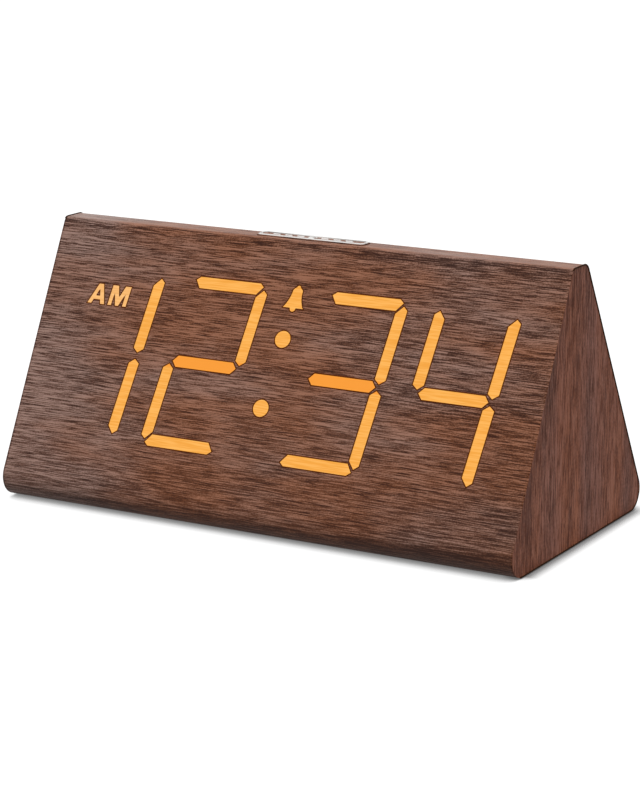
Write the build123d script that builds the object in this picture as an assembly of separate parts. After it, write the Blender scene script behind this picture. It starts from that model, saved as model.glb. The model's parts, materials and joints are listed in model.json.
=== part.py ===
from build123d import *
import os
from math import cos, radians, sin, tan

# Driving dimensions, in millimetres and degrees: +X runs along the width, the front looks to -Y, +Z is up

# Case
WIDTH = 180.0
CASE_HEIGHT = 85.1  # from the underside to the flat ridge
RIDGE_DEPTH = 9.8  # between the sharp upper corners, before they are rounded
FRONT_ANGLE = 64.0
REAR_ANGLE = 60.4
FRONT_BOTTOM_RADIUS = 6.5
REAR_BOTTOM_RADIUS = 6.0
REAR_TOP_RADIUS = 3.5
FRONT_TOP_RADIUS = 2.2
VENEER = 0.6
END_VENEER = 0.5
BOARD = 4.0
END_BOARD = 6.0
RIDGE_HEIGHT = 10.0  # solid rail along the top, with its veneer
FOOT_HEIGHT = 0.5
FOOT_RADIUS = 5.0
FOOT_FROM_END = 12.0
FOOT_FROM_FRONT = 16.0
FOOT_FROM_REAR = 19.0

# Fits
FIT_GAP = 0.05  # running fit on a radius
LOOSE_GAP = 0.3  # between a moving piece and the opening that it passes
SEAT_GAP = 0.1  # between a flange and the wall that holds it in
OVERRUN = 1.0  # how far a cut runs past the face that it opens

# Screws, one size throughout
SCREW_RADIUS = 1.0
SCREW_HEAD_RADIUS = 2.0
SCREW_HEAD_HEIGHT = 1.1
RECESS_LENGTH_SHARE = 1.2  # of the head's radius
RECESS_WIDTH_SHARE = 0.3
RECESS_DEPTH_SHARE = 0.55  # of the head's height

# Digits on the front: places are measured along the width and up the slope
DISPLAY_OFFSET = -1.2  # from the middle of the width
DISPLAY_LIFT = 4.9  # of the middle of the digits above the middle of the slope
DIGIT_WIDTH = 24.7  # between the centre lines of the upright strokes
DIGIT_HEIGHT = 51.6  # between the centre lines of the top and bottom strokes
DIGIT_STROKE = 3.7
DIGIT_SLANT = 5.4
DIGIT_PITCH = 37.55
COLON_ROOM = 11.35  # what the colon adds to the pitch of the two middle digits
COLON_RADIUS = 2.7
COLON_SPACING = 22.1
BELL_HEIGHT = 8.3
BELL_RISE = 24.1  # above the middle of the digits
MARK_HEIGHT = 6.6
MARK_LEFT = -74.0  # left edge of the first letter, from the middle of the display
MARK_RISE = 15.1  # foot of the letters, above the middle of the digits
MARK_PITCH = 7.7
MARK_DROP = 13.0  # from the morning mark down to the unlit afternoon mark
TUNNEL_SHARE = 1.2  # of a mark's or the bell's size, for the light tunnel behind it
WINDOW_GAP = 0.06  # dark line round each lit window

# Display pack behind the front board
PACK_END_GAP = 3.0  # between the pack and the end boards
PACK_BELOW = 34.85  # from the middle of the digits down to the pack's lower edge
PACK_ABOVE = 31.15  # and up to its upper edge
DIFFUSER = 0.5
REFLECTOR = 6.0
PCB = 1.6
TUNNEL_CORNER = 1.0
LED_LENGTH = 2.0
LED_WIDTH = 1.25
LED_HEIGHT = 0.7
LED_SPACING = 10.0
PACK_SCREW_EDGE = 3.0  # from the pack's edges
PACK_SCREW_BITE = 3.0  # how far a screw runs into the front board
DRIVER_LENGTH = 13.0
DRIVER_WIDTH = 7.5
DRIVER_HEIGHT = 1.8
DRIVER_LIFT = 6.15  # above the middle of the digits
HEADER_LENGTH = 16.0
HEADER_WIDTH = 5.0
HEADER_HEIGHT = 5.0
HEADER_X = 20.0
DISPLAY_HEADER_LIFT = -11.85  # from the middle of the digits
CONTROL_HEADER_LIFT = -10.0  # from the middle of the control panel
RIBBON_WIDTH = 13.0
RIBBON_THICKNESS = 0.9
RIBBON_BEND_SHARE = 0.45  # of the shorter run

# Snooze key in the ridge
KEY_LENGTH = 38.0
KEY_DEPTH = 5.4
KEY_CORNER = 1.4
KEY_PROUD = 0.3
KEY_EDGE = 0.25
KEY_SKIRT = 5.2  # from the ridge down to the key's flange
KEY_FLANGE = 1.4
KEY_FLANGE_LIP = 1.2
KEY_TRAVEL = 0.7
SNOOZE_BOARD = 1.0
SNOOZE_BOARD_GAP = 0.2  # between the board's long edges and the boards of the case
SNOOZE_BOARD_MARGIN = 3.5  # from a screw to the end of the board
SNOOZE_SCREW_OUT = 7.5  # from the end of the key to a screw
SNOOZE_SCREW_BITE = 4.0
SNOOZE_SWITCH_HEIGHT = 2.2

# Push switches under the keys
SWITCH_SIDE = 6.0
SWITCH_HEIGHT = 4.0
PLUNGER_RADIUS = 1.6
PLUNGER_BURIED = 0.9  # end of the plunger inside its switch

# Control panel in the rear face: places are measured from the panel's middle, rightwards seen from behind
PANEL_LENGTH = 128.0
PANEL_HEIGHT = 46.0
PANEL_LIFT = 1.4  # of its middle above the middle of the rear slope
PANEL_THICKNESS = 2.0
PANEL_CORNER = 4.0
PANEL_GAP = 0.25
PANEL_LEDGE = 5.0
PANEL_SCREW_EDGE = 2.9
PANEL_SCREW_BITE = 2.0
BOSS_RADIUS = 2.4
BOSS_HEIGHT = 8.0
CONTROL_BOARD_GAP = 3.0  # between the board's left edge and the opening that it stands in
CONTROL_BOARD_LENGTH = 75.0
CONTROL_BOARD_HEIGHT = 32.0
BOARD_SCREW_EDGE = 3.5
BOARD_SCREW_BITE = 5.0
UPPER_ROW = 8.5
LOWER_ROW = -8.5
BUTTON_FIRST = 10.5  # from the control board's left edge
BUTTON_PITCH = 13.0
BUTTON_RADIUS = 3.6
BUTTON_PROUD = 1.2
BUTTON_EDGE = 0.5
BUTTON_FLANGE_LIP = 1.0
BUTTON_FLANGE = 1.0
BUTTON_TRAVEL = 0.8
DISH_LIP = 1.6  # of the shallow dish round each button and slot
DISH_DEPTH = 0.4
SLIDER_FIRST = 12.5  # from the control board's left edge
SLIDER_PITCH = 18.0
SLIDER_LENGTH = 3.0
SLIDER_WIDTH = 2.4
SLIDER_PROUD = 1.2
SLIDER_TRAVEL = 3.0
SLIDER_STEM = 1.6
SLIDER_BURIED = 1.0
SLIDE_SWITCH_END = 2.1  # of a switch's housing past the ends of its groove
SLIDE_SWITCH_SIDE = 1.1  # and past its sides
SLIDE_SWITCH_HEIGHT = 4.8
WHEEL_PLACE = -7.0
WHEEL_RADIUS = 5.6
WHEEL_WIDTH = 3.0
WHEEL_PROUD = 1.5
WHEEL_TEETH = 24
WHEEL_TOOTH_RADIUS = 0.35
WHEEL_SHAFT_RADIUS = 1.0
WHEEL_EAR = 1.4
WHEEL_EAR_WIDTH = 4.4
INLET_PLACE = 7.5
INLET_SIDE = 9.0
INLET_BORE_RADIUS = 2.9
INLET_PIN_RADIUS = 1.0
INLET_DEPTH = 8.0
INLET_COLLAR_RADIUS = 3.8
INLET_COLLAR_SUNK = 0.4
CHIP_SIDE = 9.0
CHIP_HEIGHT = 1.5
CHIP_PLACE = 6.0

# Speaker behind the panel's holes
SPEAKER_FROM_END = 21.0  # from the panel's right edge to the speaker's middle
SPEAKER_RADIUS = 14.0
SPEAKER_RIM = 2.5
SPEAKER_RIM_THICKNESS = 1.0
SPEAKER_BASKET = 3.2
SPEAKER_WALL = 0.8
SPEAKER_MAGNET_RADIUS = 8.0
SPEAKER_MAGNET = 4.0
CONE_WALL = 0.5
CONE_SUNK = 0.5  # cone's rim below the panel's inner face
DUST_CAP_SHARE = 0.35  # of the cone's radius
SPEAKER_FENCE = 1.0
SPEAKER_FENCE_HEIGHT = 2.4
GRILLE_HOLE_RADIUS = 0.8
GRILLE_PITCH = 2.6
GRILLE_RINGS = 4
GRILLE_FIRST_RING = 6  # holes in it, and as many more in each ring outwards

# Battery box in the base
CELL_RADIUS = 5.25
CELL_LENGTH = 43.6
CELL_NIB_RADIUS = 1.9
CELL_NIB = 0.9
CELL_COUNT = 3
CELL_GAP = 0.5  # between neighbouring cells
CELL_CLEARANCE = 0.4
TRAY_WALL = 1.5
TRAY_FLANGE = 5.2
TRAY_FLANGE_THICKNESS = 2.0
TRAY_SCREW_EDGE = 2.6
TRAY_SCREW_BITE = 2.0
CONTACT_THICKNESS = 0.4
CONTACT_SIDE = 8.0
DOOR_THICKNESS = 1.8
DOOR_KNUCKLE_RADIUS = 1.5
DOOR_PIN_RADIUS = 0.8
DOOR_PIN_LENGTH = 1.1
DOOR_TAB_WIDTH = 8.0
DOOR_TAB_THICKNESS = 1.0
DOOR_TAB_HEIGHT = 1.5
DOOR_TAB_INSET = 0.9
FINGER_NOTCH_RADIUS = 4.0
FINGER_NOTCH_DEPTH = 0.9

# Loose leads inside
LEAD_RADIUS = 0.6
LEAD_SPACING = 2.0
LEAD_BEND_SHARE = 0.45  # of the shorter run
BATTERY_LEAD_X = 4.0
BATTERY_LEAD_FORWARD = 4.0  # of the tray's middle
BATTERY_LEAD_LIFT = 2.0  # where it meets the control board, above the panel's middle
SNOOZE_LEAD_X = 10.0
SNOOZE_LEAD_GAP = 0.6  # behind the display pack
SNOOZE_LEAD_LIFT = 12.0
SPEAKER_LEAD_START = 5.0  # above the speaker's middle
SPEAKER_LEAD_X = -8.0
SPEAKER_LEAD_LIFT = 14.0
SPEAKER_LEAD_LOOP = 9.0  # how far the leads stand off the magnet

# Sizes worked out from those above
FRONT = radians(FRONT_ANGLE)
REAR = radians(REAR_ANGLE)
BASE_DEPTH = RIDGE_DEPTH + CASE_HEIGHT / tan(FRONT) + CASE_HEIGHT / tan(REAR)  # at the sharp corners
DISPLAY_RISE = CASE_HEIGHT / sin(FRONT) / 2 + DISPLAY_LIFT  # up the slope from the sharp front corner
PANEL_RISE = CASE_HEIGHT / sin(REAR) / 2 + PANEL_LIFT  # up the slope from the sharp rear corner
WALL = VENEER + BOARD
HALF_WIDTH = WIDTH / 2
SKIN_END = HALF_WIDTH - END_VENEER
BOARD_END = SKIN_END - END_BOARD
RIDGE_UNDERSIDE = CASE_HEIGHT - RIDGE_HEIGHT
HALF_DIGIT_WIDTH = DIGIT_WIDTH / 2
HALF_DIGIT_HEIGHT = DIGIT_HEIGHT / 2
SLANT = tan(radians(DIGIT_SLANT))
PACK_WIDTH = 2 * (BOARD_END - PACK_END_GAP)
PACK_BOTTOM = DISPLAY_RISE - PACK_BELOW
PACK_TOP = DISPLAY_RISE + PACK_ABOVE
REFLECTOR_DEPTH = WALL + DIFFUSER
DISPLAY_BOARD_DEPTH = REFLECTOR_DEPTH + REFLECTOR
DISPLAY_BACK = DISPLAY_BOARD_DEPTH + PCB
CONTROL_BOARD_DEPTH = PANEL_THICKNESS + BOSS_HEIGHT
CONTROL_BACK = CONTROL_BOARD_DEPTH + PCB
CONTROL_BOARD_LEFT = PANEL_LEDGE + CONTROL_BOARD_GAP - PANEL_LENGTH / 2
CONTROL_BOARD_RIGHT = CONTROL_BOARD_LEFT + CONTROL_BOARD_LENGTH
SPEAKER_PLACE = PANEL_LENGTH / 2 - SPEAKER_FROM_END
SNOOZE_SCREW_X = KEY_LENGTH / 2 + SNOOZE_SCREW_OUT
SCREW_HOLE = SCREW_RADIUS + FIT_GAP
BUTTON_NAMES = ["time", "alarm", "hour", "minute"]
SLIDER_NAMES = ["alarm", "volume"]
ALL_STROKES = "abcdefg"
DIGIT_STROKES = ["bc", ALL_STROKES, ALL_STROKES, ALL_STROKES]  # the first digit is only ever a 1

# Rounding draws the lower edges in, so the case is set back by half of what is left
FRONT_REACH = FRONT_BOTTOM_RADIUS / tan(FRONT / 2) - FRONT_BOTTOM_RADIUS
REAR_REACH = BASE_DEPTH - REAR_BOTTOM_RADIUS / tan(REAR / 2) + REAR_BOTTOM_RADIUS
CORNER_Y = -(FRONT_REACH + REAR_REACH) / 2

# Faces of the case, each with its own flat frame and its normal outwards
FRONT_FACE = Plane((0, CORNER_Y, FOOT_HEIGHT), x_dir=(1, 0, 0), z_dir=(0, -sin(FRONT), cos(FRONT)))
REAR_CORNER_Y = CORNER_Y + BASE_DEPTH
REAR_FACE = Plane((0, REAR_CORNER_Y, FOOT_HEIGHT), x_dir=(-1, 0, 0), z_dir=(0, sin(REAR), cos(REAR)))
TOP_FACE = Plane((0, CORNER_Y, FOOT_HEIGHT + CASE_HEIGHT), x_dir=(1, 0, 0), z_dir=(0, 0, 1))
UNDERSIDE = Plane((0, CORNER_Y, FOOT_HEIGHT), x_dir=(-1, 0, 0), z_dir=(0, 0, -1))


def front_y(height, inset):
    """How far back the front face lies at a height, moved inwards by inset."""
    return height / tan(FRONT) + inset / sin(FRONT)


def rear_y(height, inset):
    """How far back the rear face lies at a height, moved inwards by inset."""
    return BASE_DEPTH - height / tan(REAR) - inset / sin(REAR)


def span(face, outline, start, end):
    """A prism of an outline drawn on a face, between two depths below that face."""
    return extrude(face.offset(-start) * outline, amount=end - start, dir=-face.z_dir)


def polygon(points):
    return make_face(Polyline(*points, close=True))


def along_width(outline, left, right):
    """A prism of an outline in the clock's cross-section, from one X to another."""
    plane = Plane((left, CORNER_Y, FOOT_HEIGHT), x_dir=(0, 1, 0), z_dir=(1, 0, 0))
    return extrude(plane * outline, amount=right - left, dir=plane.z_dir)


def section(inset):
    """The case's rounded cross-section, with every face moved inwards by inset."""
    top = CASE_HEIGHT - inset
    corners = [
        (front_y(inset, inset), inset),
        (rear_y(inset, inset), inset),
        (rear_y(top, inset), top),
        (front_y(top, inset), top),
    ]
    radii = [FRONT_BOTTOM_RADIUS, REAR_BOTTOM_RADIUS, REAR_TOP_RADIUS, FRONT_TOP_RADIUS]
    outline = polygon(corners)
    for (y, z), radius in zip(corners, radii):
        corner = outline.vertices().sort_by_distance((y, z, 0))[0]
        outline = fillet(corner, radius - inset)
    return outline


def screw(face, place, head_top, tip):
    """Pan-head screw with a cross recess, driven from the depth of its head's top to that of its tip."""
    way = 1 if tip > head_top else -1
    seat = head_top + way * SCREW_HEAD_HEIGHT
    recess_end = head_top + way * SCREW_HEAD_HEIGHT * RECESS_DEPTH_SHARE
    length = SCREW_HEAD_RADIUS * RECESS_LENGTH_SHARE
    width = SCREW_HEAD_RADIUS * RECESS_WIDTH_SHARE
    solid = span(face, place * Circle(SCREW_HEAD_RADIUS), head_top, seat)
    solid += span(face, place * Circle(SCREW_RADIUS), seat, tip)
    cross = Rectangle(length, width) + Rectangle(width, length)
    return solid - span(face, place * cross, head_top, recess_end)


# Display outlines


def on_display(x, y):
    """A point of the display, leaned with the digits, as a place on the front face."""
    return (DISPLAY_OFFSET + x + y * SLANT, DISPLAY_RISE + y)


def digit_middles():
    """The four digits' middles, from left to right."""
    inner = (DIGIT_PITCH + COLON_ROOM) / 2
    return [-inner - DIGIT_PITCH, -inner, inner, inner + DIGIT_PITCH]


def segment_points(letter):
    """Corners of one stroke of a digit, about the digit's middle, before it leans."""
    w, h, t = HALF_DIGIT_WIDTH, HALF_DIGIT_HEIGHT, DIGIT_STROKE
    top_shares = [(-0.03, 0.2), (-0.4, 0.5), (-0.55, -0.5)]
    upper_shares = [(0.09, -0.07), (0.5, -0.4), (-0.5, -0.73)]
    lower_shares = [(0.5, 0.65), (0, 0.28), (-0.5, 0.68)]
    middle_shares = [(-0.22, 0), (-0.65, 0.5), (-0.65, -0.5)]
    tip, outer, inner = [(w + x * t, h + y * t) for x, y in top_shares]
    top = [(-tip[0], tip[1]), (-outer[0], outer[1]), outer, tip, inner, (-inner[0], inner[1])]
    head, shoulder, armpit = [(w + x * t, h + y * t) for x, y in upper_shares]
    side = [head, shoulder] + [(w + x * t, y * t) for x, y in lower_shares] + [armpit]
    point, above, below = [(w + x * t, y * t) for x, y in middle_shares]
    middle = [(-point[0], point[1]), (-above[0], above[1]), above, point, below, (-below[0], below[1])]
    return {
        "a": top,
        "b": side,
        "c": [(x, -y) for x, y in side],
        "d": [(x, -y) for x, y in top],
        "e": [(-x, -y) for x, y in side],
        "f": [(-x, y) for x, y in side],
        "g": middle,
    }[letter]


def segment(letter, middle):
    return polygon([on_display(middle + x, y) for x, y in segment_points(letter)])


def colon():
    """The two round dots between the hours and the minutes."""
    places = [on_display(0, y) for y in (-COLON_SPACING / 2, COLON_SPACING / 2)]
    return [Pos(*place) * Circle(COLON_RADIUS) for place in places]


def bell():
    """Bell that shows that the alarm is set: a domed body, a knob on top and a clapper below."""
    foot_shares, waist_shares, shoulder_shares = (0.43, -0.36), (0.27, -0.05), (0.21, 0.3)
    crown_shares, knob_shares, clapper_shares = (0, 0.45), (0, 0.43), (0, -0.38)
    knob_radius_share, clapper_radius_share = 0.08, 0.12

    def at(shares, side=1):
        x, y = shares
        return on_display(side * x * BELL_HEIGHT, BELL_RISE + y * BELL_HEIGHT)

    outline = [
        Line(at(foot_shares, -1), at(foot_shares)),
        ThreePointArc(at(foot_shares), at(waist_shares), at(shoulder_shares)),
        ThreePointArc(at(shoulder_shares), at(crown_shares), at(shoulder_shares, -1)),
        ThreePointArc(at(shoulder_shares, -1), at(waist_shares, -1), at(foot_shares, -1)),
    ]
    knob = Pos(*at(knob_shares)) * Circle(knob_radius_share * BELL_HEIGHT)
    clapper = Pos(*at(clapper_shares)) * Circle(clapper_radius_share * BELL_HEIGHT)
    return make_face(outline) + knob + clapper


def morning_mark():
    """The two letters that mark the morning hours, drawn in shares of their height."""
    a_shares = [(0, 0), (0.36, 1), (0.62, 1), (0.98, 0), (0.74, 0), (0.67, 0.21), (0.3, 0.21), (0.23, 0)]
    eye_shares = [(0.37, 0.4), (0.6, 0.4), (0.49, 0.76)]
    m_left_shares = [(0, 0), (0, 1), (0.33, 1), (0.53, 0.42)]
    m_right_shares = [(0.73, 1), (1.06, 1), (1.06, 0), (0.85, 0), (0.85, 0.66), (0.62, 0)]
    m_shares = m_left_shares + m_right_shares + [(0.44, 0), (0.21, 0.66), (0.21, 0)]

    def letter(shares, left):
        return polygon([on_display(left + x * MARK_HEIGHT, MARK_RISE + y * MARK_HEIGHT) for x, y in shares])

    first = letter(a_shares, MARK_LEFT) - letter(eye_shares, MARK_LEFT)
    return [first, letter(m_shares, MARK_LEFT + MARK_PITCH)]


def mark_tunnel(drop):
    """Rounded light tunnel behind a two-letter mark."""
    height = MARK_HEIGHT * TUNNEL_SHARE
    width = MARK_PITCH + height
    middle = on_display(MARK_LEFT + width / 2, MARK_RISE + MARK_HEIGHT / 2 - drop)
    return Pos(*middle) * RectangleRounded(width, height, TUNNEL_CORNER)


def bell_tunnel():
    side = BELL_HEIGHT * TUNNEL_SHARE
    return Pos(*on_display(0, BELL_RISE)) * RectangleRounded(side, side, TUNNEL_CORNER)


def light_tunnels():
    """Every light tunnel of the display, lit or not: the strokes of the digits, the colon and the marks."""
    digits = zip(digit_middles(), DIGIT_STROKES)
    outlines = [segment(letter, middle) for middle, letters in digits for letter in letters]
    return outlines + colon() + [bell_tunnel(), mark_tunnel(0), mark_tunnel(MARK_DROP)]


def led_places():
    """Where the light-emitting diodes stand: two to a stroke or mark, one to a dot or the bell."""
    w, h = HALF_DIGIT_WIDTH, HALF_DIGIT_HEIGHT
    along, up = (LED_SPACING / 2, 0), (0, LED_SPACING / 2)
    strokes = {
        "a": (0, h, along),
        "b": (w, h / 2, up),
        "c": (w, -h / 2, up),
        "d": (0, -h, along),
        "e": (-w, -h / 2, up),
        "f": (-w, h / 2, up),
        "g": (0, 0, along),
    }
    places = []
    for middle, letters in zip(digit_middles(), DIGIT_STROKES):
        for x, y, (dx, dy) in [strokes[letter] for letter in letters]:
            places += [on_display(middle + x + side * dx, y + side * dy) for side in (-1, 1)]
    places += [on_display(0, y) for y in (-COLON_SPACING / 2, COLON_SPACING / 2, BELL_RISE)]
    mark_middle = MARK_LEFT + MARK_PITCH
    for drop in (0, MARK_DROP):
        rise = MARK_RISE + MARK_HEIGHT / 2 - drop
        places += [on_display(mark_middle + side * MARK_PITCH / 2, rise) for side in (-1, 1)]
    return places


# Places that several pieces share


def pack_outline():
    middle = (PACK_BOTTOM + PACK_TOP) / 2
    return Pos(0, middle) * Rectangle(PACK_WIDTH, PACK_TOP - PACK_BOTTOM)


def pack_screw_places():
    """Screws at the pack's ends and between the digits of each pair, clear of every light tunnel."""
    between = sum(digit_middles()[2:]) / 2
    end = PACK_WIDTH / 2 - PACK_SCREW_EDGE
    places = []
    for rise in (PACK_BOTTOM + PACK_SCREW_EDGE, PACK_TOP - PACK_SCREW_EDGE):
        left, right = [on_display(side * between, rise - DISPLAY_RISE)[0] for side in (-1, 1)]
        places += [Pos(x, rise) for x in (-end, left, right, end)]
    return places


def key_place():
    """Middle of the ridge's flat strip, between its two rounded edges."""
    front_flat = front_y(CASE_HEIGHT, 0) + FRONT_TOP_RADIUS * tan(FRONT / 2)
    rear_flat = rear_y(CASE_HEIGHT, 0) - REAR_TOP_RADIUS * tan(REAR / 2)
    return Pos(0, (front_flat + rear_flat) / 2)


def key_outline(extra):
    return key_place() * RectangleRounded(KEY_LENGTH + 2 * extra, KEY_DEPTH + 2 * extra, KEY_CORNER + extra)


def on_panel(across, up):
    return Pos(across, PANEL_RISE + up)


def panel_outline(extra):
    corner = PANEL_CORNER + extra
    return on_panel(0, 0) * RectangleRounded(PANEL_LENGTH + 2 * extra, PANEL_HEIGHT + 2 * extra, corner)


def panel_opening():
    """The hole in the rear board behind the panel, which leaves a ledge for the panel to sit on."""
    margin = 2 * PANEL_LEDGE
    return on_panel(0, 0) * Rectangle(PANEL_LENGTH - margin, PANEL_HEIGHT - margin)


def panel_screw_places():
    x = PANEL_LENGTH / 2 - PANEL_SCREW_EDGE
    y = PANEL_HEIGHT / 2 - PANEL_SCREW_EDGE
    return [on_panel(i * x, j * y) for i in (-1, 1) for j in (-1, 1)]


def boss_places():
    columns = (CONTROL_BOARD_LEFT + BOARD_SCREW_EDGE, CONTROL_BOARD_RIGHT - BOARD_SCREW_EDGE)
    y = CONTROL_BOARD_HEIGHT / 2 - BOARD_SCREW_EDGE
    return [on_panel(x, j * y) for x in columns for j in (-1, 1)]


def button_places():
    first = CONTROL_BOARD_LEFT + BUTTON_FIRST
    return {name: on_panel(first + k * BUTTON_PITCH, UPPER_ROW) for k, name in enumerate(BUTTON_NAMES)}


def slider_places():
    """How far across the panel the middle of each slider's slot lies."""
    first = CONTROL_BOARD_LEFT + SLIDER_FIRST
    return {name: first + k * SLIDER_PITCH for k, name in enumerate(SLIDER_NAMES)}


TRAY_MIDDLE = BASE_DEPTH / 2  # from the sharp front corner
CELL_PITCH = 2 * CELL_RADIUS + CELL_GAP
TRAY_INSIDE_LENGTH = CELL_LENGTH + CELL_NIB + 2 * (CONTACT_THICKNESS + CELL_CLEARANCE)
TRAY_INSIDE_WIDTH = CELL_PITCH * (CELL_COUNT - 1) + 2 * (CELL_RADIUS + CELL_CLEARANCE)
CELL_HEIGHT = DOOR_THICKNESS + CELL_CLEARANCE + CELL_RADIUS  # of the cells' middle line above the underside
TRAY_ROOF = CELL_HEIGHT + CELL_RADIUS + CELL_CLEARANCE
TRAY_LENGTH = TRAY_INSIDE_LENGTH + 2 * TRAY_WALL
TRAY_WIDTH = TRAY_INSIDE_WIDTH + 2 * TRAY_WALL


def tray_rectangle(grow):
    """The battery tray's outer wall seen from below, grown by a margin on every side."""
    return Pos(0, TRAY_MIDDLE) * Rectangle(TRAY_LENGTH + 2 * grow, TRAY_WIDTH + 2 * grow)


def tray_screw_places():
    x = TRAY_LENGTH / 2 + TRAY_FLANGE - TRAY_SCREW_EDGE
    y = TRAY_WIDTH / 2 + TRAY_FLANGE - TRAY_SCREW_EDGE
    return [Pos(i * x, TRAY_MIDDLE + j * y) for i in (-1, 1) for j in (-1, 1)]


# Case


def case_parts():
    """Glued boards under a wrap of thin wood, with a separate sheet of wood on each end."""
    core = along_width(section(VENEER), -BOARD_END, BOARD_END)
    skin = along_width(section(0), -SKIN_END, SKIN_END) - along_width(section(VENEER), -SKIN_END, SKIN_END)
    top = RIDGE_UNDERSIDE
    sharp_front, sharp_rear = (front_y(VENEER, VENEER), VENEER), (rear_y(VENEER, VENEER), VENEER)
    inner_front, inner_rear = (front_y(WALL, WALL), WALL), (rear_y(WALL, WALL), WALL)
    front_points = [sharp_front, (front_y(top, VENEER), top), (front_y(top, WALL), top), inner_front]
    rear_points = [sharp_rear, (rear_y(top, VENEER), top), (rear_y(top, WALL), top), inner_rear]
    base_points = [sharp_front, sharp_rear, inner_rear, inner_front]
    ridge_points = [
        (front_y(top, VENEER), top),
        (rear_y(top, VENEER), top),
        (rear_y(CASE_HEIGHT, VENEER), CASE_HEIGHT),
        (front_y(CASE_HEIGHT, VENEER), CASE_HEIGHT),
    ]
    front, rear, base, ridge = [
        along_width(polygon(points), -BOARD_END, BOARD_END) & core
        for points in (front_points, rear_points, base_points, ridge_points)
    ]

    # Front: light tunnels and the screw holes of the display pack
    through = WALL + OVERRUN
    front -= [span(FRONT_FACE, outline, -OVERRUN, through) for outline in light_tunnels()]
    hole = Circle(SCREW_HOLE)
    hole_end = WALL - PACK_SCREW_BITE - FIT_GAP
    front -= [span(FRONT_FACE, place * hole, hole_end, through) for place in pack_screw_places()]

    # Rear: a rebate for the panel, and an opening within it for what the panel carries
    rebate = span(REAR_FACE, panel_outline(PANEL_GAP), -OVERRUN, PANEL_THICKNESS)
    rear -= [rebate, span(REAR_FACE, panel_opening(), -OVERRUN, through)]
    rear -= [span(REAR_FACE, place * hole, 0, through) for place in panel_screw_places()]

    # Base: a rebate for the battery tray's flange, and an opening for its walls
    flange_cut = span(UNDERSIDE, tray_rectangle(TRAY_FLANGE + PANEL_GAP), -OVERRUN, TRAY_FLANGE_THICKNESS)
    base -= [flange_cut, span(UNDERSIDE, tray_rectangle(PANEL_GAP), -OVERRUN, through)]
    base -= [span(UNDERSIDE, place * hole, 0, through) for place in tray_screw_places()]

    # Ridge: the slot of the snooze key, a wider pocket below for its flange, and two screw holes
    slot = span(TOP_FACE, key_outline(LOOSE_GAP), -OVERRUN, RIDGE_HEIGHT)
    pocket = span(TOP_FACE, key_outline(KEY_FLANGE_LIP + LOOSE_GAP), KEY_SKIRT, RIDGE_HEIGHT + OVERRUN)
    ridge -= [slot, pocket]
    ridge -= [
        span(TOP_FACE, place * hole, RIDGE_HEIGHT - SNOOZE_SCREW_BITE - FIT_GAP, RIDGE_HEIGHT)
        for place in snooze_screw_places()
    ]

    skin -= [rebate, flange_cut, slot]
    skin -= [span(FRONT_FACE, outline, -OVERRUN, VENEER + FIT_GAP) for outline in lit_cuts()]

    end_board = along_width(section(VENEER), BOARD_END, SKIN_END)
    end_veneer = along_width(section(0), SKIN_END, HALF_WIDTH)
    foot = Circle(FOOT_RADIUS)
    foot_x = HALF_WIDTH - FOOT_FROM_END
    feet = [
        span(UNDERSIDE, Pos(i * foot_x, y) * foot, -FOOT_HEIGHT, 0)
        for i in (-1, 1)
        for y in (FOOT_FROM_FRONT, BASE_DEPTH - FOOT_FROM_REAR)
    ]
    return {
        "veneer_wrap": skin,
        "front_board": front,
        "rear_board": rear,
        "base_board": base,
        "ridge_rail": ridge,
        "left_end_board": mirror(end_board, about=Plane.YZ),
        "right_end_board": end_board,
        "left_end_veneer": mirror(end_veneer, about=Plane.YZ),
        "right_end_veneer": end_veneer,
        "rubber_feet": feet,
    }


# Display


LIT_STROKES = {"hour_tens": "bc", "hour_units": "abged", "minute_tens": "abgcd", "minute_units": "fgbc"}


def lit_outlines():
    """Outlines of what is lit at 12:34 in the morning with the alarm set, by node."""
    outlines = {}
    for (name, letters), middle in zip(LIT_STROKES.items(), digit_middles()):
        outlines[name + "_light"] = [segment(letter, middle) for letter in letters]
    outlines["colon_light"] = colon()
    outlines["alarm_bell_light"] = [bell()]
    outlines["morning_mark_light"] = morning_mark()
    return outlines


def lit_cuts():
    """The windows in the wood, each a dark line wider than the light in it."""
    return [offset(outline, WINDOW_GAP) for outlines in lit_outlines().values() for outline in outlines]


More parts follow.
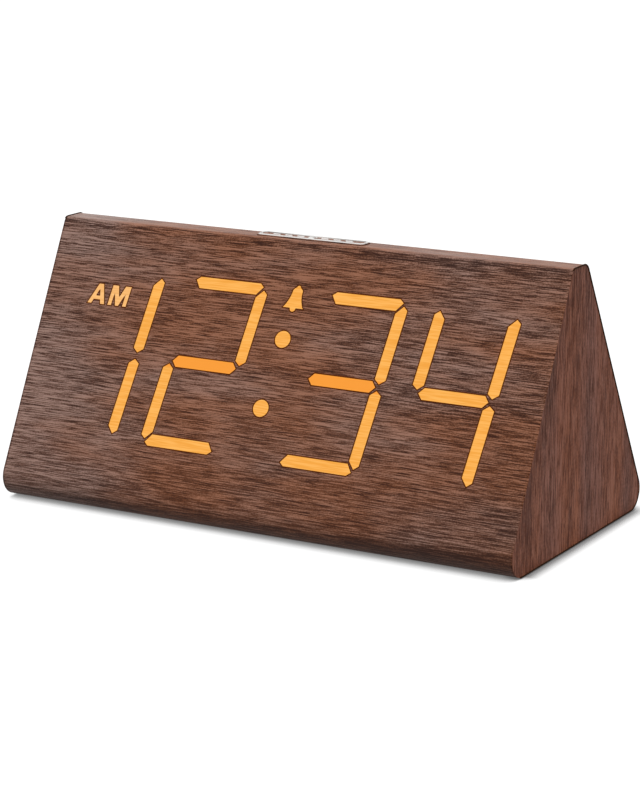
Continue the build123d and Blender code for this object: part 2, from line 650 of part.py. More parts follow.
def display_parts():
    """Lit windows in the wood, and the pack behind: diffuser, reflector, board and diodes."""
    nodes = {
        name: [span(FRONT_FACE, outline, 0, VENEER) for outline in outlines]
        for name, outlines in lit_outlines().items()
    }
    hole = Circle(SCREW_HOLE)
    diffuser = span(FRONT_FACE, pack_outline(), WALL, REFLECTOR_DEPTH)
    reflector = span(FRONT_FACE, pack_outline(), REFLECTOR_DEPTH, DISPLAY_BOARD_DEPTH)
    reflector -= [span(FRONT_FACE, o, REFLECTOR_DEPTH, DISPLAY_BOARD_DEPTH) for o in light_tunnels()]
    board = span(FRONT_FACE, pack_outline(), DISPLAY_BOARD_DEPTH, DISPLAY_BACK)
    drill = [span(FRONT_FACE, p * hole, WALL - OVERRUN, DISPLAY_BACK + OVERRUN) for p in pack_screw_places()]
    led = Rectangle(LED_LENGTH, LED_WIDTH)
    driver = Pos(-HEADER_X, DISPLAY_RISE + DRIVER_LIFT) * Rectangle(DRIVER_LENGTH, DRIVER_WIDTH)
    head_top = DISPLAY_BACK + SCREW_HEAD_HEIGHT
    nodes |= {
        "diffuser_sheet": diffuser - drill,
        "segment_reflector": reflector - drill,
        "display_board": board - drill,
        "segment_leds": [
            span(FRONT_FACE, Pos(*place) * led, DISPLAY_BOARD_DEPTH - LED_HEIGHT, DISPLAY_BOARD_DEPTH)
            for place in led_places()
        ],
        "display_driver": span(FRONT_FACE, driver, DISPLAY_BACK, DISPLAY_BACK + DRIVER_HEIGHT),
        "display_screws": [
            screw(FRONT_FACE, place, head_top, WALL - PACK_SCREW_BITE) for place in pack_screw_places()
        ],
    }
    return nodes


# Snooze key


def snooze_screw_places():
    return [key_place() * Pos(x, 0) for x in (-SNOOZE_SCREW_X, SNOOZE_SCREW_X)]


def snooze_board_outline():
    """The small board under the ridge, as deep as the room between the front and rear boards."""
    front, rear = front_y(RIDGE_UNDERSIDE, WALL), rear_y(RIDGE_UNDERSIDE, WALL)
    length = 2 * (SNOOZE_SCREW_X + SNOOZE_BOARD_MARGIN)
    return Pos(0, (front + rear) / 2) * Rectangle(length, rear - front - 2 * SNOOZE_BOARD_GAP)


def snooze_parts():
    """Key in the ridge with its flange below, and the small switch board that closes its pocket."""
    flange_top = KEY_SKIRT + SEAT_GAP
    flange_end = flange_top + KEY_FLANGE
    key = span(TOP_FACE, key_outline(0), -KEY_PROUD, flange_top)
    rim = key.faces().sort_by(Axis.Z)[-1].edges()
    key = fillet(rim, KEY_EDGE)
    key += span(TOP_FACE, key_outline(KEY_FLANGE_LIP), flange_top, flange_end)
    switch_top = RIDGE_HEIGHT - SNOOZE_SWITCH_HEIGHT
    place = key_place()
    body = span(TOP_FACE, place * Rectangle(SWITCH_SIDE, SWITCH_SIDE), switch_top, RIDGE_HEIGHT)
    bore = place * Circle(PLUNGER_RADIUS + FIT_GAP)
    bore_end = switch_top + PLUNGER_BURIED + KEY_TRAVEL + LOOSE_GAP
    plunger = span(TOP_FACE, place * Circle(PLUNGER_RADIUS), flange_end, switch_top + PLUNGER_BURIED)
    board_end = RIDGE_HEIGHT + SNOOZE_BOARD
    board = span(TOP_FACE, snooze_board_outline(), RIDGE_HEIGHT, board_end)
    hole = Circle(SCREW_HOLE)
    board -= [span(TOP_FACE, p * hole, RIDGE_HEIGHT, board_end) for p in snooze_screw_places()]
    return {
        "snooze_key": key,
        "snooze_plunger": plunger,
        "snooze_switch": body - span(TOP_FACE, bore, switch_top, bore_end),
        "snooze_board": board,
    }


# Rear control panel


WHEEL_DEPTH = WHEEL_RADIUS - WHEEL_PROUD  # of the thumb wheel's axis below the panel's face
SPEAKER_MIDDLE = on_panel(SPEAKER_PLACE, 0)


def grille_holes():
    """Rings of small round holes in front of the speaker."""
    places = [SPEAKER_MIDDLE]
    for ring in range(1, GRILLE_RINGS + 1):
        places += [SPEAKER_MIDDLE * p for p in PolarLocations(ring * GRILLE_PITCH, GRILLE_FIRST_RING * ring)]
    return places


def rear_panel():
    """Moulded panel with its bosses, the fence round the speaker, and every hole through it."""
    inside = PANEL_THICKNESS
    panel = span(REAR_FACE, panel_outline(0), 0, inside)
    panel += [span(REAR_FACE, p * Circle(BOSS_RADIUS), inside, CONTROL_BOARD_DEPTH) for p in boss_places()]
    fence_radius = SPEAKER_RADIUS + LOOSE_GAP
    fence = SPEAKER_MIDDLE * (Circle(fence_radius + SPEAKER_FENCE) - Circle(fence_radius))
    panel += span(REAR_FACE, fence, inside, inside + SPEAKER_FENCE_HEIGHT)

    def cut(outline, start=-OVERRUN, end=inside):
        return span(REAR_FACE, outline, start, end)

    hole = Circle(SCREW_HOLE)
    bite = CONTROL_BOARD_DEPTH - BOARD_SCREW_BITE - FIT_GAP
    cuts = [cut(p * hole, bite, CONTROL_BOARD_DEPTH) for p in boss_places()]
    cuts += [cut(p * hole) for p in panel_screw_places()]
    head = Circle(SCREW_HEAD_RADIUS + SEAT_GAP)
    cuts += [cut(p * head, end=SCREW_HEAD_HEIGHT) for p in panel_screw_places()]
    for place in button_places().values():
        cuts.append(cut(place * Circle(BUTTON_RADIUS + LOOSE_GAP)))
        cuts.append(cut(place * Circle(BUTTON_RADIUS + DISH_LIP), end=DISH_DEPTH))
    slot_length = SLIDER_LENGTH + SLIDER_TRAVEL + 2 * LOOSE_GAP
    slot_width = SLIDER_WIDTH + 2 * LOOSE_GAP
    for across in slider_places().values():
        place = on_panel(across, LOWER_ROW)
        dish = Rectangle(slot_length + 2 * DISH_LIP, slot_width + 2 * DISH_LIP)
        cuts += [cut(place * Rectangle(slot_length, slot_width)), cut(place * dish, end=DISH_DEPTH)]
    chord = 2 * (WHEEL_RADIUS**2 - (WHEEL_DEPTH - inside) ** 2) ** 0.5
    wheel_slot = Rectangle(WHEEL_WIDTH + 2 * LOOSE_GAP, chord + 2 * LOOSE_GAP)
    cuts.append(cut(on_panel(WHEEL_PLACE, LOWER_ROW) * wheel_slot))
    cuts.append(cut(on_panel(INLET_PLACE, LOWER_ROW) * Circle(INLET_COLLAR_RADIUS + SEAT_GAP)))
    cuts += [cut(p * Circle(GRILLE_HOLE_RADIUS)) for p in grille_holes()]
    return panel - cuts


def button_parts():
    """Round push buttons, each held behind the panel by its flange and standing on a switch's plunger."""
    nodes, switches = {}, []
    flange_top = PANEL_THICKNESS + SEAT_GAP
    flange_end = flange_top + BUTTON_FLANGE
    switch_top = CONTROL_BOARD_DEPTH - SWITCH_HEIGHT
    bore_end = switch_top + PLUNGER_BURIED + BUTTON_TRAVEL + LOOSE_GAP
    for name, place in button_places().items():
        cap = span(REAR_FACE, place * Circle(BUTTON_RADIUS), -BUTTON_PROUD, flange_top)
        outer = cap.faces().sort_by(Axis((0, 0, 0), REAR_FACE.z_dir))[-1]
        cap = fillet(outer.edges(), BUTTON_EDGE)
        flange = place * Circle(BUTTON_RADIUS + BUTTON_FLANGE_LIP)
        nodes[name + "_button"] = cap + span(REAR_FACE, flange, flange_top, flange_end)
        stem = place * Circle(PLUNGER_RADIUS)
        nodes[name + "_plunger"] = span(REAR_FACE, stem, flange_end, switch_top + PLUNGER_BURIED)
        body = span(REAR_FACE, place * Rectangle(SWITCH_SIDE, SWITCH_SIDE), switch_top, CONTROL_BOARD_DEPTH)
        bore = place * Circle(PLUNGER_RADIUS + FIT_GAP)
        switches.append(body - span(REAR_FACE, bore, switch_top, bore_end))
    nodes["button_switches"] = switches
    return nodes


def slider_parts():
    """Two slide switches: each knob rests at one end of its slot and its stem runs in the switch's groove."""
    nodes, bodies = {}, []
    top = CONTROL_BOARD_DEPTH - SLIDE_SWITCH_HEIGHT
    groove_length = SLIDER_STEM + SLIDER_TRAVEL + 2 * LOOSE_GAP
    groove_width = SLIDER_STEM + 2 * LOOSE_GAP
    housing = Rectangle(groove_length + 2 * SLIDE_SWITCH_END, groove_width + 2 * SLIDE_SWITCH_SIDE)
    for name, across in slider_places().items():
        middle = on_panel(across, LOWER_ROW)
        rest = on_panel(across - SLIDER_TRAVEL / 2, LOWER_ROW)
        knob = span(REAR_FACE, rest * Rectangle(SLIDER_LENGTH, SLIDER_WIDTH), -SLIDER_PROUD, top - SEAT_GAP)
        stem = rest * Rectangle(SLIDER_STEM, SLIDER_STEM)
        nodes[name + "_slider"] = knob + span(REAR_FACE, stem, top - SEAT_GAP, top + SLIDER_BURIED)
        body = span(REAR_FACE, middle * housing, top, CONTROL_BOARD_DEPTH)
        groove = middle * Rectangle(groove_length, groove_width)
        bodies.append(body - span(REAR_FACE, groove, top, top + SLIDER_BURIED + LOOSE_GAP))
    nodes["slide_switches"] = bodies
    return nodes


def dimmer_parts():
    """Notched thumb wheel on a cross shaft, in a forked control that stands on the board."""
    middle = REAR_FACE.offset(-WHEEL_DEPTH) * on_panel(WHEEL_PLACE, LOWER_ROW)
    across = Plane(middle.position, x_dir=REAR_FACE.y_dir, z_dir=REAR_FACE.x_dir)
    inner_half = WHEEL_WIDTH / 2 + LOOSE_GAP
    outer_half = inner_half + WHEEL_EAR
    notches = [p * Circle(WHEEL_TOOTH_RADIUS) for p in PolarLocations(WHEEL_RADIUS, WHEEL_TEETH)]
    rim = Circle(WHEEL_RADIUS)
    for notch in notches:
        rim -= notch
    wheel = extrude(across * rim, amount=WHEEL_WIDTH / 2, both=True)
    wheel += extrude(across * Circle(WHEEL_SHAFT_RADIUS), amount=outer_half, both=True)
    ears = []
    for side in (-1, 1):
        place = on_panel(WHEEL_PLACE + side * (inner_half + outer_half) / 2, LOWER_ROW)
        ear = place * Rectangle(WHEEL_EAR, WHEEL_EAR_WIDTH)
        ears.append(span(REAR_FACE, ear, PANEL_THICKNESS + SEAT_GAP, CONTROL_BOARD_DEPTH))
    bearing = extrude(across * Circle(WHEEL_SHAFT_RADIUS + FIT_GAP), amount=outer_half + OVERRUN, both=True)
    return {"dimmer_wheel": wheel, "dimmer_control": [ear - bearing for ear in ears]}


def inlet():
    """Round power socket with a centre pin, its collar set in the panel."""
    place = on_panel(INLET_PLACE, LOWER_ROW)
    block_top = PANEL_THICKNESS + SEAT_GAP
    body = span(REAR_FACE, place * Rectangle(INLET_SIDE, INLET_SIDE), block_top, CONTROL_BOARD_DEPTH)
    body += span(REAR_FACE, place * Circle(INLET_COLLAR_RADIUS), INLET_COLLAR_SUNK, block_top)
    bottom = INLET_COLLAR_SUNK + INLET_DEPTH
    body -= span(REAR_FACE, place * Circle(INLET_BORE_RADIUS), 0, bottom)
    return body + span(REAR_FACE, place * Circle(INLET_PIN_RADIUS), PANEL_THICKNESS, bottom)


def speaker_parts():
    """Small round speaker: a pressed frame with its magnet, and the paper cone inside."""
    face = REAR_FACE.offset(-PANEL_THICKNESS) * SPEAKER_MIDDLE
    inwards = Plane(face.position, x_dir=REAR_FACE.x_dir, z_dir=REAR_FACE.y_dir)
    rim_inner = SPEAKER_RADIUS - SPEAKER_RIM
    waist = SPEAKER_MAGNET_RADIUS - SPEAKER_WALL
    rim, bottom = SPEAKER_RIM_THICKNESS, SPEAKER_RIM_THICKNESS + SPEAKER_BASKET
    frame_points = [
        (rim_inner, 0),
        (SPEAKER_RADIUS, 0),
        (SPEAKER_RADIUS, rim),
        (rim_inner + SPEAKER_WALL, rim),
        (SPEAKER_MAGNET_RADIUS, bottom),
        (SPEAKER_MAGNET_RADIUS, bottom + SPEAKER_MAGNET),
        (0, bottom + SPEAKER_MAGNET),
        (0, bottom),
        (waist, bottom),
        (rim_inner, rim),
    ]
    cone_outer = rim_inner
    cone_inner = waist * DUST_CAP_SHARE
    cone_end = bottom - SEAT_GAP
    cone_points = [
        (0, cone_end - CONE_WALL),
        (cone_inner, cone_end - CONE_WALL),
        (cone_outer, CONE_SUNK),
        (cone_outer, CONE_SUNK + CONE_WALL),
        (cone_inner + CONE_WALL, cone_end),
        (0, cone_end),
    ]
    axis = Axis(face.position, REAR_FACE.z_dir)
    return {
        "speaker_frame": revolve(inwards * polygon(frame_points), axis),
        "speaker_cone": revolve(inwards * polygon(cone_points), axis),
    }


def board_screws():
    """The screws of the control board, and those of the small snooze board under the ridge."""
    control_head = CONTROL_BACK + SCREW_HEAD_HEIGHT
    snooze_head = RIDGE_HEIGHT + SNOOZE_BOARD + SCREW_HEAD_HEIGHT
    control_tip = CONTROL_BOARD_DEPTH - BOARD_SCREW_BITE
    snooze_tip = RIDGE_HEIGHT - SNOOZE_SCREW_BITE
    screws = [screw(REAR_FACE, p, control_head, control_tip) for p in boss_places()]
    return screws + [screw(TOP_FACE, p, snooze_head, snooze_tip) for p in snooze_screw_places()]


def ribbon_headers():
    """Plug-in blocks on the backs of the display board and the control board."""
    block = Rectangle(HEADER_LENGTH, HEADER_WIDTH)
    on_display_board = Pos(HEADER_X, DISPLAY_RISE + DISPLAY_HEADER_LIFT) * block
    on_control_board = Pos(-HEADER_X, PANEL_RISE + CONTROL_HEADER_LIFT) * block
    return [
        span(FRONT_FACE, on_display_board, DISPLAY_BACK, DISPLAY_BACK + HEADER_HEIGHT),
        span(REAR_FACE, on_control_board, CONTROL_BACK, CONTROL_BACK + HEADER_HEIGHT),
    ]


def control_parts():
    """The panel and all that it carries, from its screws to the board behind it."""
    board_middle = (CONTROL_BOARD_LEFT + CONTROL_BOARD_RIGHT) / 2
    board_length = CONTROL_BOARD_RIGHT - CONTROL_BOARD_LEFT
    outline = on_panel(board_middle, 0) * Rectangle(board_length, CONTROL_BOARD_HEIGHT)
    board = span(REAR_FACE, outline, CONTROL_BOARD_DEPTH, CONTROL_BACK)
    hole = Circle(SCREW_HOLE)
    board -= [span(REAR_FACE, p * hole, CONTROL_BOARD_DEPTH, CONTROL_BACK) for p in boss_places()]
    chip = on_panel(CHIP_PLACE, UPPER_ROW) * Rectangle(CHIP_SIDE, CHIP_SIDE)
    nodes = {
        "rear_panel": rear_panel(),
        "panel_screws": [
            screw(REAR_FACE, p, 0, PANEL_THICKNESS + PANEL_SCREW_BITE) for p in panel_screw_places()
        ],
        "control_board": board,
        "board_screws": board_screws(),
        "ribbon_headers": ribbon_headers(),
        "clock_chip": span(REAR_FACE, chip, CONTROL_BACK, CONTROL_BACK + CHIP_HEIGHT),
        "power_inlet": inlet(),
    }
    return nodes | button_parts() | slider_parts() | dimmer_parts() | speaker_parts()


# Battery box


def cell_rows():
    return [TRAY_MIDDLE + (k - (CELL_COUNT - 1) / 2) * CELL_PITCH for k in range(CELL_COUNT)]


def knuckle_axis():
    """Hinge line of the battery door, as a distance from the front corner and a height."""
    front_wall = TRAY_MIDDLE - TRAY_INSIDE_WIDTH / 2
    return front_wall + LOOSE_GAP + DOOR_KNUCKLE_RADIUS, DOOR_KNUCKLE_RADIUS


def bar(y, height, radius, left, right):
    """A round bar along the width, in the clock's cross-section."""
    return along_width(Pos(y, height) * Circle(radius), left, right)


def battery_tray():
    """Open box with a flange round its mouth, two bearing holes for the door and a finger notch."""
    tray = span(UNDERSIDE, tray_rectangle(0), 0, TRAY_ROOF + TRAY_WALL)
    tray += span(UNDERSIDE, tray_rectangle(TRAY_FLANGE), 0, TRAY_FLANGE_THICKNESS)
    tray -= span(UNDERSIDE, tray_rectangle(-TRAY_WALL), -OVERRUN, TRAY_ROOF)
    y, height = knuckle_axis()
    bearing_half = TRAY_INSIDE_LENGTH / 2 + DOOR_PIN_LENGTH
    tray -= bar(y, height, DOOR_PIN_RADIUS + FIT_GAP, -bearing_half, bearing_half)
    notch = Pos(0, TRAY_MIDDLE + TRAY_INSIDE_WIDTH / 2) * Circle(FINGER_NOTCH_RADIUS)
    tray -= span(UNDERSIDE, notch, -OVERRUN, FINGER_NOTCH_DEPTH)
    hole, head = Circle(SCREW_HOLE), Circle(SCREW_HEAD_RADIUS + SEAT_GAP)
    for place in tray_screw_places():
        tray -= span(UNDERSIDE, place * hole, -OVERRUN, TRAY_FLANGE_THICKNESS)
        tray -= span(UNDERSIDE, place * head, -OVERRUN, SCREW_HEAD_HEIGHT)
    return tray


def battery_door():
    """Flat door that swings down on a round knuckle along its front edge, with a springy tab at its rear."""
    y, height = knuckle_axis()
    half = TRAY_INSIDE_LENGTH / 2 - LOOSE_GAP
    rear_edge = TRAY_MIDDLE + TRAY_INSIDE_WIDTH / 2 - LOOSE_GAP
    plate = Pos(0, (y + rear_edge) / 2) * Rectangle(2 * half, rear_edge - y)
    door = span(UNDERSIDE, plate, 0, DOOR_THICKNESS)
    door += bar(y, height, DOOR_KNUCKLE_RADIUS, -half, half)
    pin_half = TRAY_INSIDE_LENGTH / 2 + DOOR_PIN_LENGTH - SEAT_GAP
    door += bar(y, height, DOOR_PIN_RADIUS, -pin_half, pin_half)
    tab_y = rear_edge - DOOR_TAB_INSET - DOOR_TAB_THICKNESS / 2
    tab = Pos(0, tab_y) * Rectangle(DOOR_TAB_WIDTH, DOOR_TAB_THICKNESS)
    return door + span(UNDERSIDE, tab, DOOR_THICKNESS, DOOR_THICKNESS + DOOR_TAB_HEIGHT)


def battery_parts():
    """Tray, door and cells, with a flat contact at each end of every cell."""
    cells, contacts = [], []
    inside = TRAY_INSIDE_LENGTH / 2
    for k, y in enumerate(cell_rows()):
        way = 1 if k % 2 == 0 else -1
        base = -way * (inside - CONTACT_THICKNESS - CELL_CLEARANCE)
        shoulder = base + way * CELL_LENGTH
        nib = shoulder + way * CELL_NIB
        cell = bar(y, CELL_HEIGHT, CELL_RADIUS, base, shoulder)
        cells.append(cell + bar(y, CELL_HEIGHT, CELL_NIB_RADIUS, shoulder, nib))
        plate = Pos(y, CELL_HEIGHT) * Rectangle(CONTACT_SIDE, CONTACT_SIDE)
        inner = inside - CONTACT_THICKNESS
        contacts += [along_width(plate, side * inside, side * inner) for side in (-1, 1)]
    return {
        "battery_tray": battery_tray(),
        "battery_door": battery_door(),
        "battery_cells": cells,
        "battery_contacts": contacts,
        "tray_screws": [
            screw(UNDERSIDE, p, 0, TRAY_FLANGE_THICKNESS + TRAY_SCREW_BITE) for p in tray_screw_places()
        ],
    }


# Wiring


def bent_path(points, bend_share):
    """Straight runs joined by arcs, each arc as large as its two runs allow."""
    radii = []
    for before, corner, after in zip(points, points[1:], points[2:]):
        turn = radians((corner - before).get_angle(after - corner))
        shorter = min((corner - before).length, (after - corner).length)
        radii.append(bend_share * shorter / tan(turn / 2))
    print("bend radii", [round(r, 1) for r in radii])
    return FilletPolyline(*points, radius=radii)


def inside_front(x, rise, depth):
    return (FRONT_FACE.offset(-depth) * Pos(x, rise)).position


def inside_rear(x, rise, depth):
    return (REAR_FACE.offset(-depth) * Pos(-x, rise)).position


def ribbon():
    """Flat cable between the two headers, its runs square to the boards that they leave."""
    start = inside_front(HEADER_X, DISPLAY_RISE + DISPLAY_HEADER_LIFT, DISPLAY_BACK + HEADER_HEIGHT)
    end = inside_rear(HEADER_X, PANEL_RISE + CONTROL_HEADER_LIFT, CONTROL_BACK + HEADER_HEIGHT)
    out, back = -FRONT_FACE.z_dir, -REAR_FACE.z_dir
    between = end - start
    reach = (between.Y * back.Z - between.Z * back.Y) / (out.Y * back.Z - out.Z * back.Y)
    path = bent_path([start, start + out * reach, end], RIBBON_BEND_SHARE)
    profile = Plane(start, x_dir=(1, 0, 0), z_dir=out) * Rectangle(RIBBON_WIDTH, RIBBON_THICKNESS)
    return sweep(profile, path=path)


def lead(points):
    path = bent_path(points, LEAD_BEND_SHARE)
    profile = Plane(path @ 0, z_dir=path % 0) * Circle(LEAD_RADIUS)
    return sweep(profile, path=path)


def lead_pair(points):
    """Two leads side by side along the width."""
    half = LEAD_SPACING / 2
    return [lead([p + Vector(side * half, 0, 0) for p in points]) for side in (-1, 1)]


def battery_leads():
    """Straight up from the battery tray's roof, then square on to the control board."""
    end = inside_rear(BATTERY_LEAD_X, PANEL_RISE + BATTERY_LEAD_LIFT, CONTROL_BACK)
    y = CORNER_Y + TRAY_MIDDLE - BATTERY_LEAD_FORWARD
    inwards = -REAR_FACE.z_dir
    corner = end + inwards * ((y - end.Y) / inwards.Y)
    start = Vector(BATTERY_LEAD_X, y, FOOT_HEIGHT + TRAY_ROOF + TRAY_WALL)
    return lead_pair([start, corner, end])


def snooze_leads():
    """Down from the snooze board, then round to the control board in two equal turns."""
    end = inside_rear(SNOOZE_LEAD_X, PANEL_RISE + SNOOZE_LEAD_LIFT, CONTROL_BACK)
    top = FOOT_HEIGHT + RIDGE_UNDERSIDE - SNOOZE_BOARD
    pack_corner = inside_front(SNOOZE_LEAD_X, PACK_TOP, DISPLAY_BACK)
    start = Vector(SNOOZE_LEAD_X, pack_corner.Y + LEAD_RADIUS + SNOOZE_LEAD_GAP, top)
    turn = (radians(180) - REAR) / 2
    slope = Vector(0, sin(turn), -cos(turn))
    run = (end.Y - start.Y) / (slope.Y + REAR_FACE.z_dir.Y)
    second = end - REAR_FACE.z_dir * run
    return lead_pair([start, second - slope * run, second, end])


def speaker_leads():
    """From the magnet's back across to the control board, standing off both."""
    magnet = PANEL_THICKNESS + SPEAKER_RIM_THICKNESS + SPEAKER_BASKET + SPEAKER_MAGNET
    start_rise = PANEL_RISE + SPEAKER_LEAD_START
    end_rise = PANEL_RISE + SPEAKER_LEAD_LIFT
    loop = magnet + SPEAKER_LEAD_LOOP
    return lead_pair([
        inside_rear(-SPEAKER_PLACE, start_rise, magnet),
        inside_rear(-SPEAKER_PLACE, start_rise, loop),
        inside_rear(SPEAKER_LEAD_X, end_rise, loop),
        inside_rear(SPEAKER_LEAD_X, end_rise, CONTROL_BACK),
    ])


def wiring_parts():
    """The flat cable between the boards, and the leads of the battery, the snooze board and the speaker."""
    return {
        "display_ribbon": ribbon(),
        "battery_leads": battery_leads(),
        "snooze_leads": snooze_leads(),
        "speaker_leads": speaker_leads(),
    }


nodes = case_parts() | display_parts() | snooze_parts() | control_parts() | battery_parts() | wiring_parts()
os.makedirs("parts", exist_ok=True)
for name, shape in nodes.items():
    solid = Compound(children=list(shape)) if isinstance(shape, (list, ShapeList)) else shape
    export_step(solid, "parts/" + name + ".step")
print(len(nodes), "nodes")
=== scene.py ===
# %% [markdown]
# # A wedge-shaped wooden alarm clock
# The clock is a hollow wooden wedge. Amber digits shine through thinned places in its sloping front.
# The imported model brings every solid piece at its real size. This script gives those pieces their finishes,
# adds the thin things that lie on them, and sets the studio.

# %% Load the fixed frame
import json
import math

import bmesh
import bpy
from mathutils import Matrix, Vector


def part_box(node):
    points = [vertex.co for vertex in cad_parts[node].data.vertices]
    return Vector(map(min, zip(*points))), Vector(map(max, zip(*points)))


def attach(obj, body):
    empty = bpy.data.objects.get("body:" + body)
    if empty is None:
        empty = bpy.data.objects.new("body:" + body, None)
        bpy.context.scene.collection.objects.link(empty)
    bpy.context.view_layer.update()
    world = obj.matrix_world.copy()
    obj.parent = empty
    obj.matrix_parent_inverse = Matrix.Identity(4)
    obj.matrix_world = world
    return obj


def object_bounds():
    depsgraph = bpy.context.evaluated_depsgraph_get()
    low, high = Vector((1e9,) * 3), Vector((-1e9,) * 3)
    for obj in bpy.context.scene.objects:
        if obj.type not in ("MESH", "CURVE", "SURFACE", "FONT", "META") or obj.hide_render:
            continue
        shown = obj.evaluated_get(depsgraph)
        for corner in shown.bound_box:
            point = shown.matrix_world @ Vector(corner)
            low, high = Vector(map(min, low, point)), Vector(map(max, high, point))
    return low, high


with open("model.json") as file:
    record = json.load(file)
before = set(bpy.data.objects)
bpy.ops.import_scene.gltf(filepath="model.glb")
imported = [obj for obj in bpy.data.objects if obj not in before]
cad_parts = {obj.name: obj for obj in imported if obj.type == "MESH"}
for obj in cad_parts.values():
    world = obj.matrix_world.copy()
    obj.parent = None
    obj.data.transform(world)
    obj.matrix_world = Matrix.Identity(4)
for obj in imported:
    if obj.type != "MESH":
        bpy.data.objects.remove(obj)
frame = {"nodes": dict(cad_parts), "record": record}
cad_low, cad_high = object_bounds()
nodes = frame["nodes"]
MM = 0.001
print("CAD box in mm", [round(v / MM, 2) for v in cad_high - cad_low])

# %% [markdown]
# ## Camera
# A long lens at arm's length keeps the upright edges nearly parallel, as product pictures do.
# The camera stands to the right of the clock and a little above it. Its place is written as an aim point on
# the clock, two angles and a distance, because those are the numbers that one would change by hand.

# %% Camera
PHOTO_HEIGHT = 800
FOCAL_LENGTH_PIXELS = 2602.3
SENSOR_MM = 36.0
NEAREST_SEEN = 10 * MM
AIM = Vector((4.35, -6.88, 35.67)) * MM
CAMERA_TURN = math.radians(29.93)
CAMERA_RISE = math.radians(13.82)
CAMERA_DISTANCE = 810.1 * MM


def direction(turn, rise):
    """Unit vector: turn goes from the front towards the right end, rise from the horizon up."""
    level = math.cos(rise)
    return Vector((math.sin(turn) * level, -math.cos(turn) * level, math.sin(rise)))


def new_object(name, data):
    made = bpy.data.objects.new(name, data)
    bpy.context.scene.collection.objects.link(made)
    return made


def look_along(thing, way):
    """Turns a camera or a lamp so that it looks along a direction."""
    thing.rotation_mode = "QUATERNION"
    thing.rotation_quaternion = way.to_track_quat("-Z", "Y")


def make_camera():
    data = bpy.data.cameras.new("camera")
    data.sensor_width = SENSOR_MM
    data.lens = FOCAL_LENGTH_PIXELS / PHOTO_HEIGHT * SENSOR_MM
    data.clip_start = NEAREST_SEEN
    camera = new_object("camera", data)
    out = direction(CAMERA_TURN, CAMERA_RISE)
    camera.location = AIM + out * CAMERA_DISTANCE
    look_along(camera, -out)
    bpy.context.scene.camera = camera
    return data.lens


print("lens in mm", round(make_camera(), 1))

# %% [markdown]
# ## Node helpers
# Every finish below is a small tree of nodes. One helper adds a node, sets its options and fills its sockets:
# a socket given as a value becomes a link, and anything else becomes the socket's own number or colour.
# The other helpers name the few kinds of node that come back in every tree.

# %% Nodes and their sockets
FLOAT, VECTOR, INTEGER = "NodeSocketFloat", "NodeSocketVector", "NodeSocketInt"
GEOMETRY, MATERIAL = "NodeSocketGeometry", "NodeSocketMaterial"


def fill(tree, made, inputs):
    """Links or sets the sockets of a node. The keys of inputs are socket names or numbers."""
    for key, value in inputs.items():
        if isinstance(value, bpy.types.NodeSocket):
            tree.links.new(value, made.inputs[key])
        else:
            made.inputs[key].default_value = value
    return made


def add(tree, kind, inputs=None, **options):
    """A new node of a tree."""
    made = tree.nodes.new(kind)
    for name, value in options.items():
        setattr(made, name, value)
    return fill(tree, made, inputs or {})


# %% Arithmetic on numbers and places
def maths(tree, operation, *values):
    return add(tree, "ShaderNodeMath", dict(enumerate(values)), operation=operation).outputs[0]


def add_up(tree, total, *values):
    for value in values:
        total = maths(tree, "ADD", total, value)
    return total


def vectors(tree, operation, *values):
    """Vector arithmetic: a vector, or a plain number for dot products."""
    made = add(tree, "ShaderNodeVectorMath", dict(enumerate(values)), operation=operation)
    return made.outputs["Value" if operation == "DOT_PRODUCT" else "Vector"]


def scaled(tree, vector, factor):
    sockets = {0: vector, "Scale": factor}
    return add(tree, "ShaderNodeVectorMath", sockets, operation="SCALE").outputs[0]


def split(tree, vector):
    """The X, Y and Z of a vector."""
    return add(tree, "ShaderNodeSeparateXYZ", {"Vector": vector}).outputs


def remap(tree, value, low, high, to_low=0.0, to_high=1.0):
    """Spreads the part of a value between low and high over another range, and cuts off the rest."""
    sockets = {"Value": value, "From Min": low, "From Max": high, "To Min": to_low, "To Max": to_high}
    return add(tree, "ShaderNodeMapRange", sockets).outputs["Result"]


# %% Noise, colour and relief
def noise(tree, place, scale, detail=2.0, roughness=0.5):
    sockets = {"Vector": place, "Scale": scale, "Detail": detail, "Roughness": roughness}
    return add(tree, "ShaderNodeTexNoise", sockets).outputs["Fac"]


def blend_colours(tree, share, first, second):
    sockets = {"Factor": share, 6: first, 7: second}
    return add(tree, "ShaderNodeMix", sockets, data_type="RGBA").outputs[2]


def bump(tree, height, strength, distance):
    sockets = {"Height": height, "Strength": strength, "Distance": distance}
    return add(tree, "ShaderNodeBump", sockets).outputs["Normal"]


# %% Groups and materials
def node_group(name, kind, inputs, outputs):
    """A new node group with its sockets: {name: (socket type, default)} and {name: socket type}."""
    group = bpy.data.node_groups.new(name, kind)
    for label, (socket_type, default) in inputs.items():
        socket = group.interface.new_socket(name=label, in_out="INPUT", socket_type=socket_type)
        if default is not None:
            socket.default_value = default
    for label, socket_type in outputs.items():
        group.interface.new_socket(name=label, in_out="OUTPUT", socket_type=socket_type)
    return group, add(group, "NodeGroupInput").outputs, add(group, "NodeGroupOutput")


def use_group(tree, group, inputs):
    return fill(tree, add(tree, "ShaderNodeGroup", node_tree=group), inputs).outputs


def new_material(name, **shader):
    """A material with a Principled shader, whose even values are set on the shader's own sockets."""
    material = bpy.data.materials.new(name)
    material.use_nodes = True
    tree = material.node_tree
    principled = tree.nodes["Principled BSDF"]
    for label, value in shader.items():
        principled.inputs[label.replace("_", " ").title().replace("Ior", "IOR")].default_value = value
    place = add(tree, "ShaderNodeTexCoord").outputs["Object"]
    return material, tree, principled.inputs, place


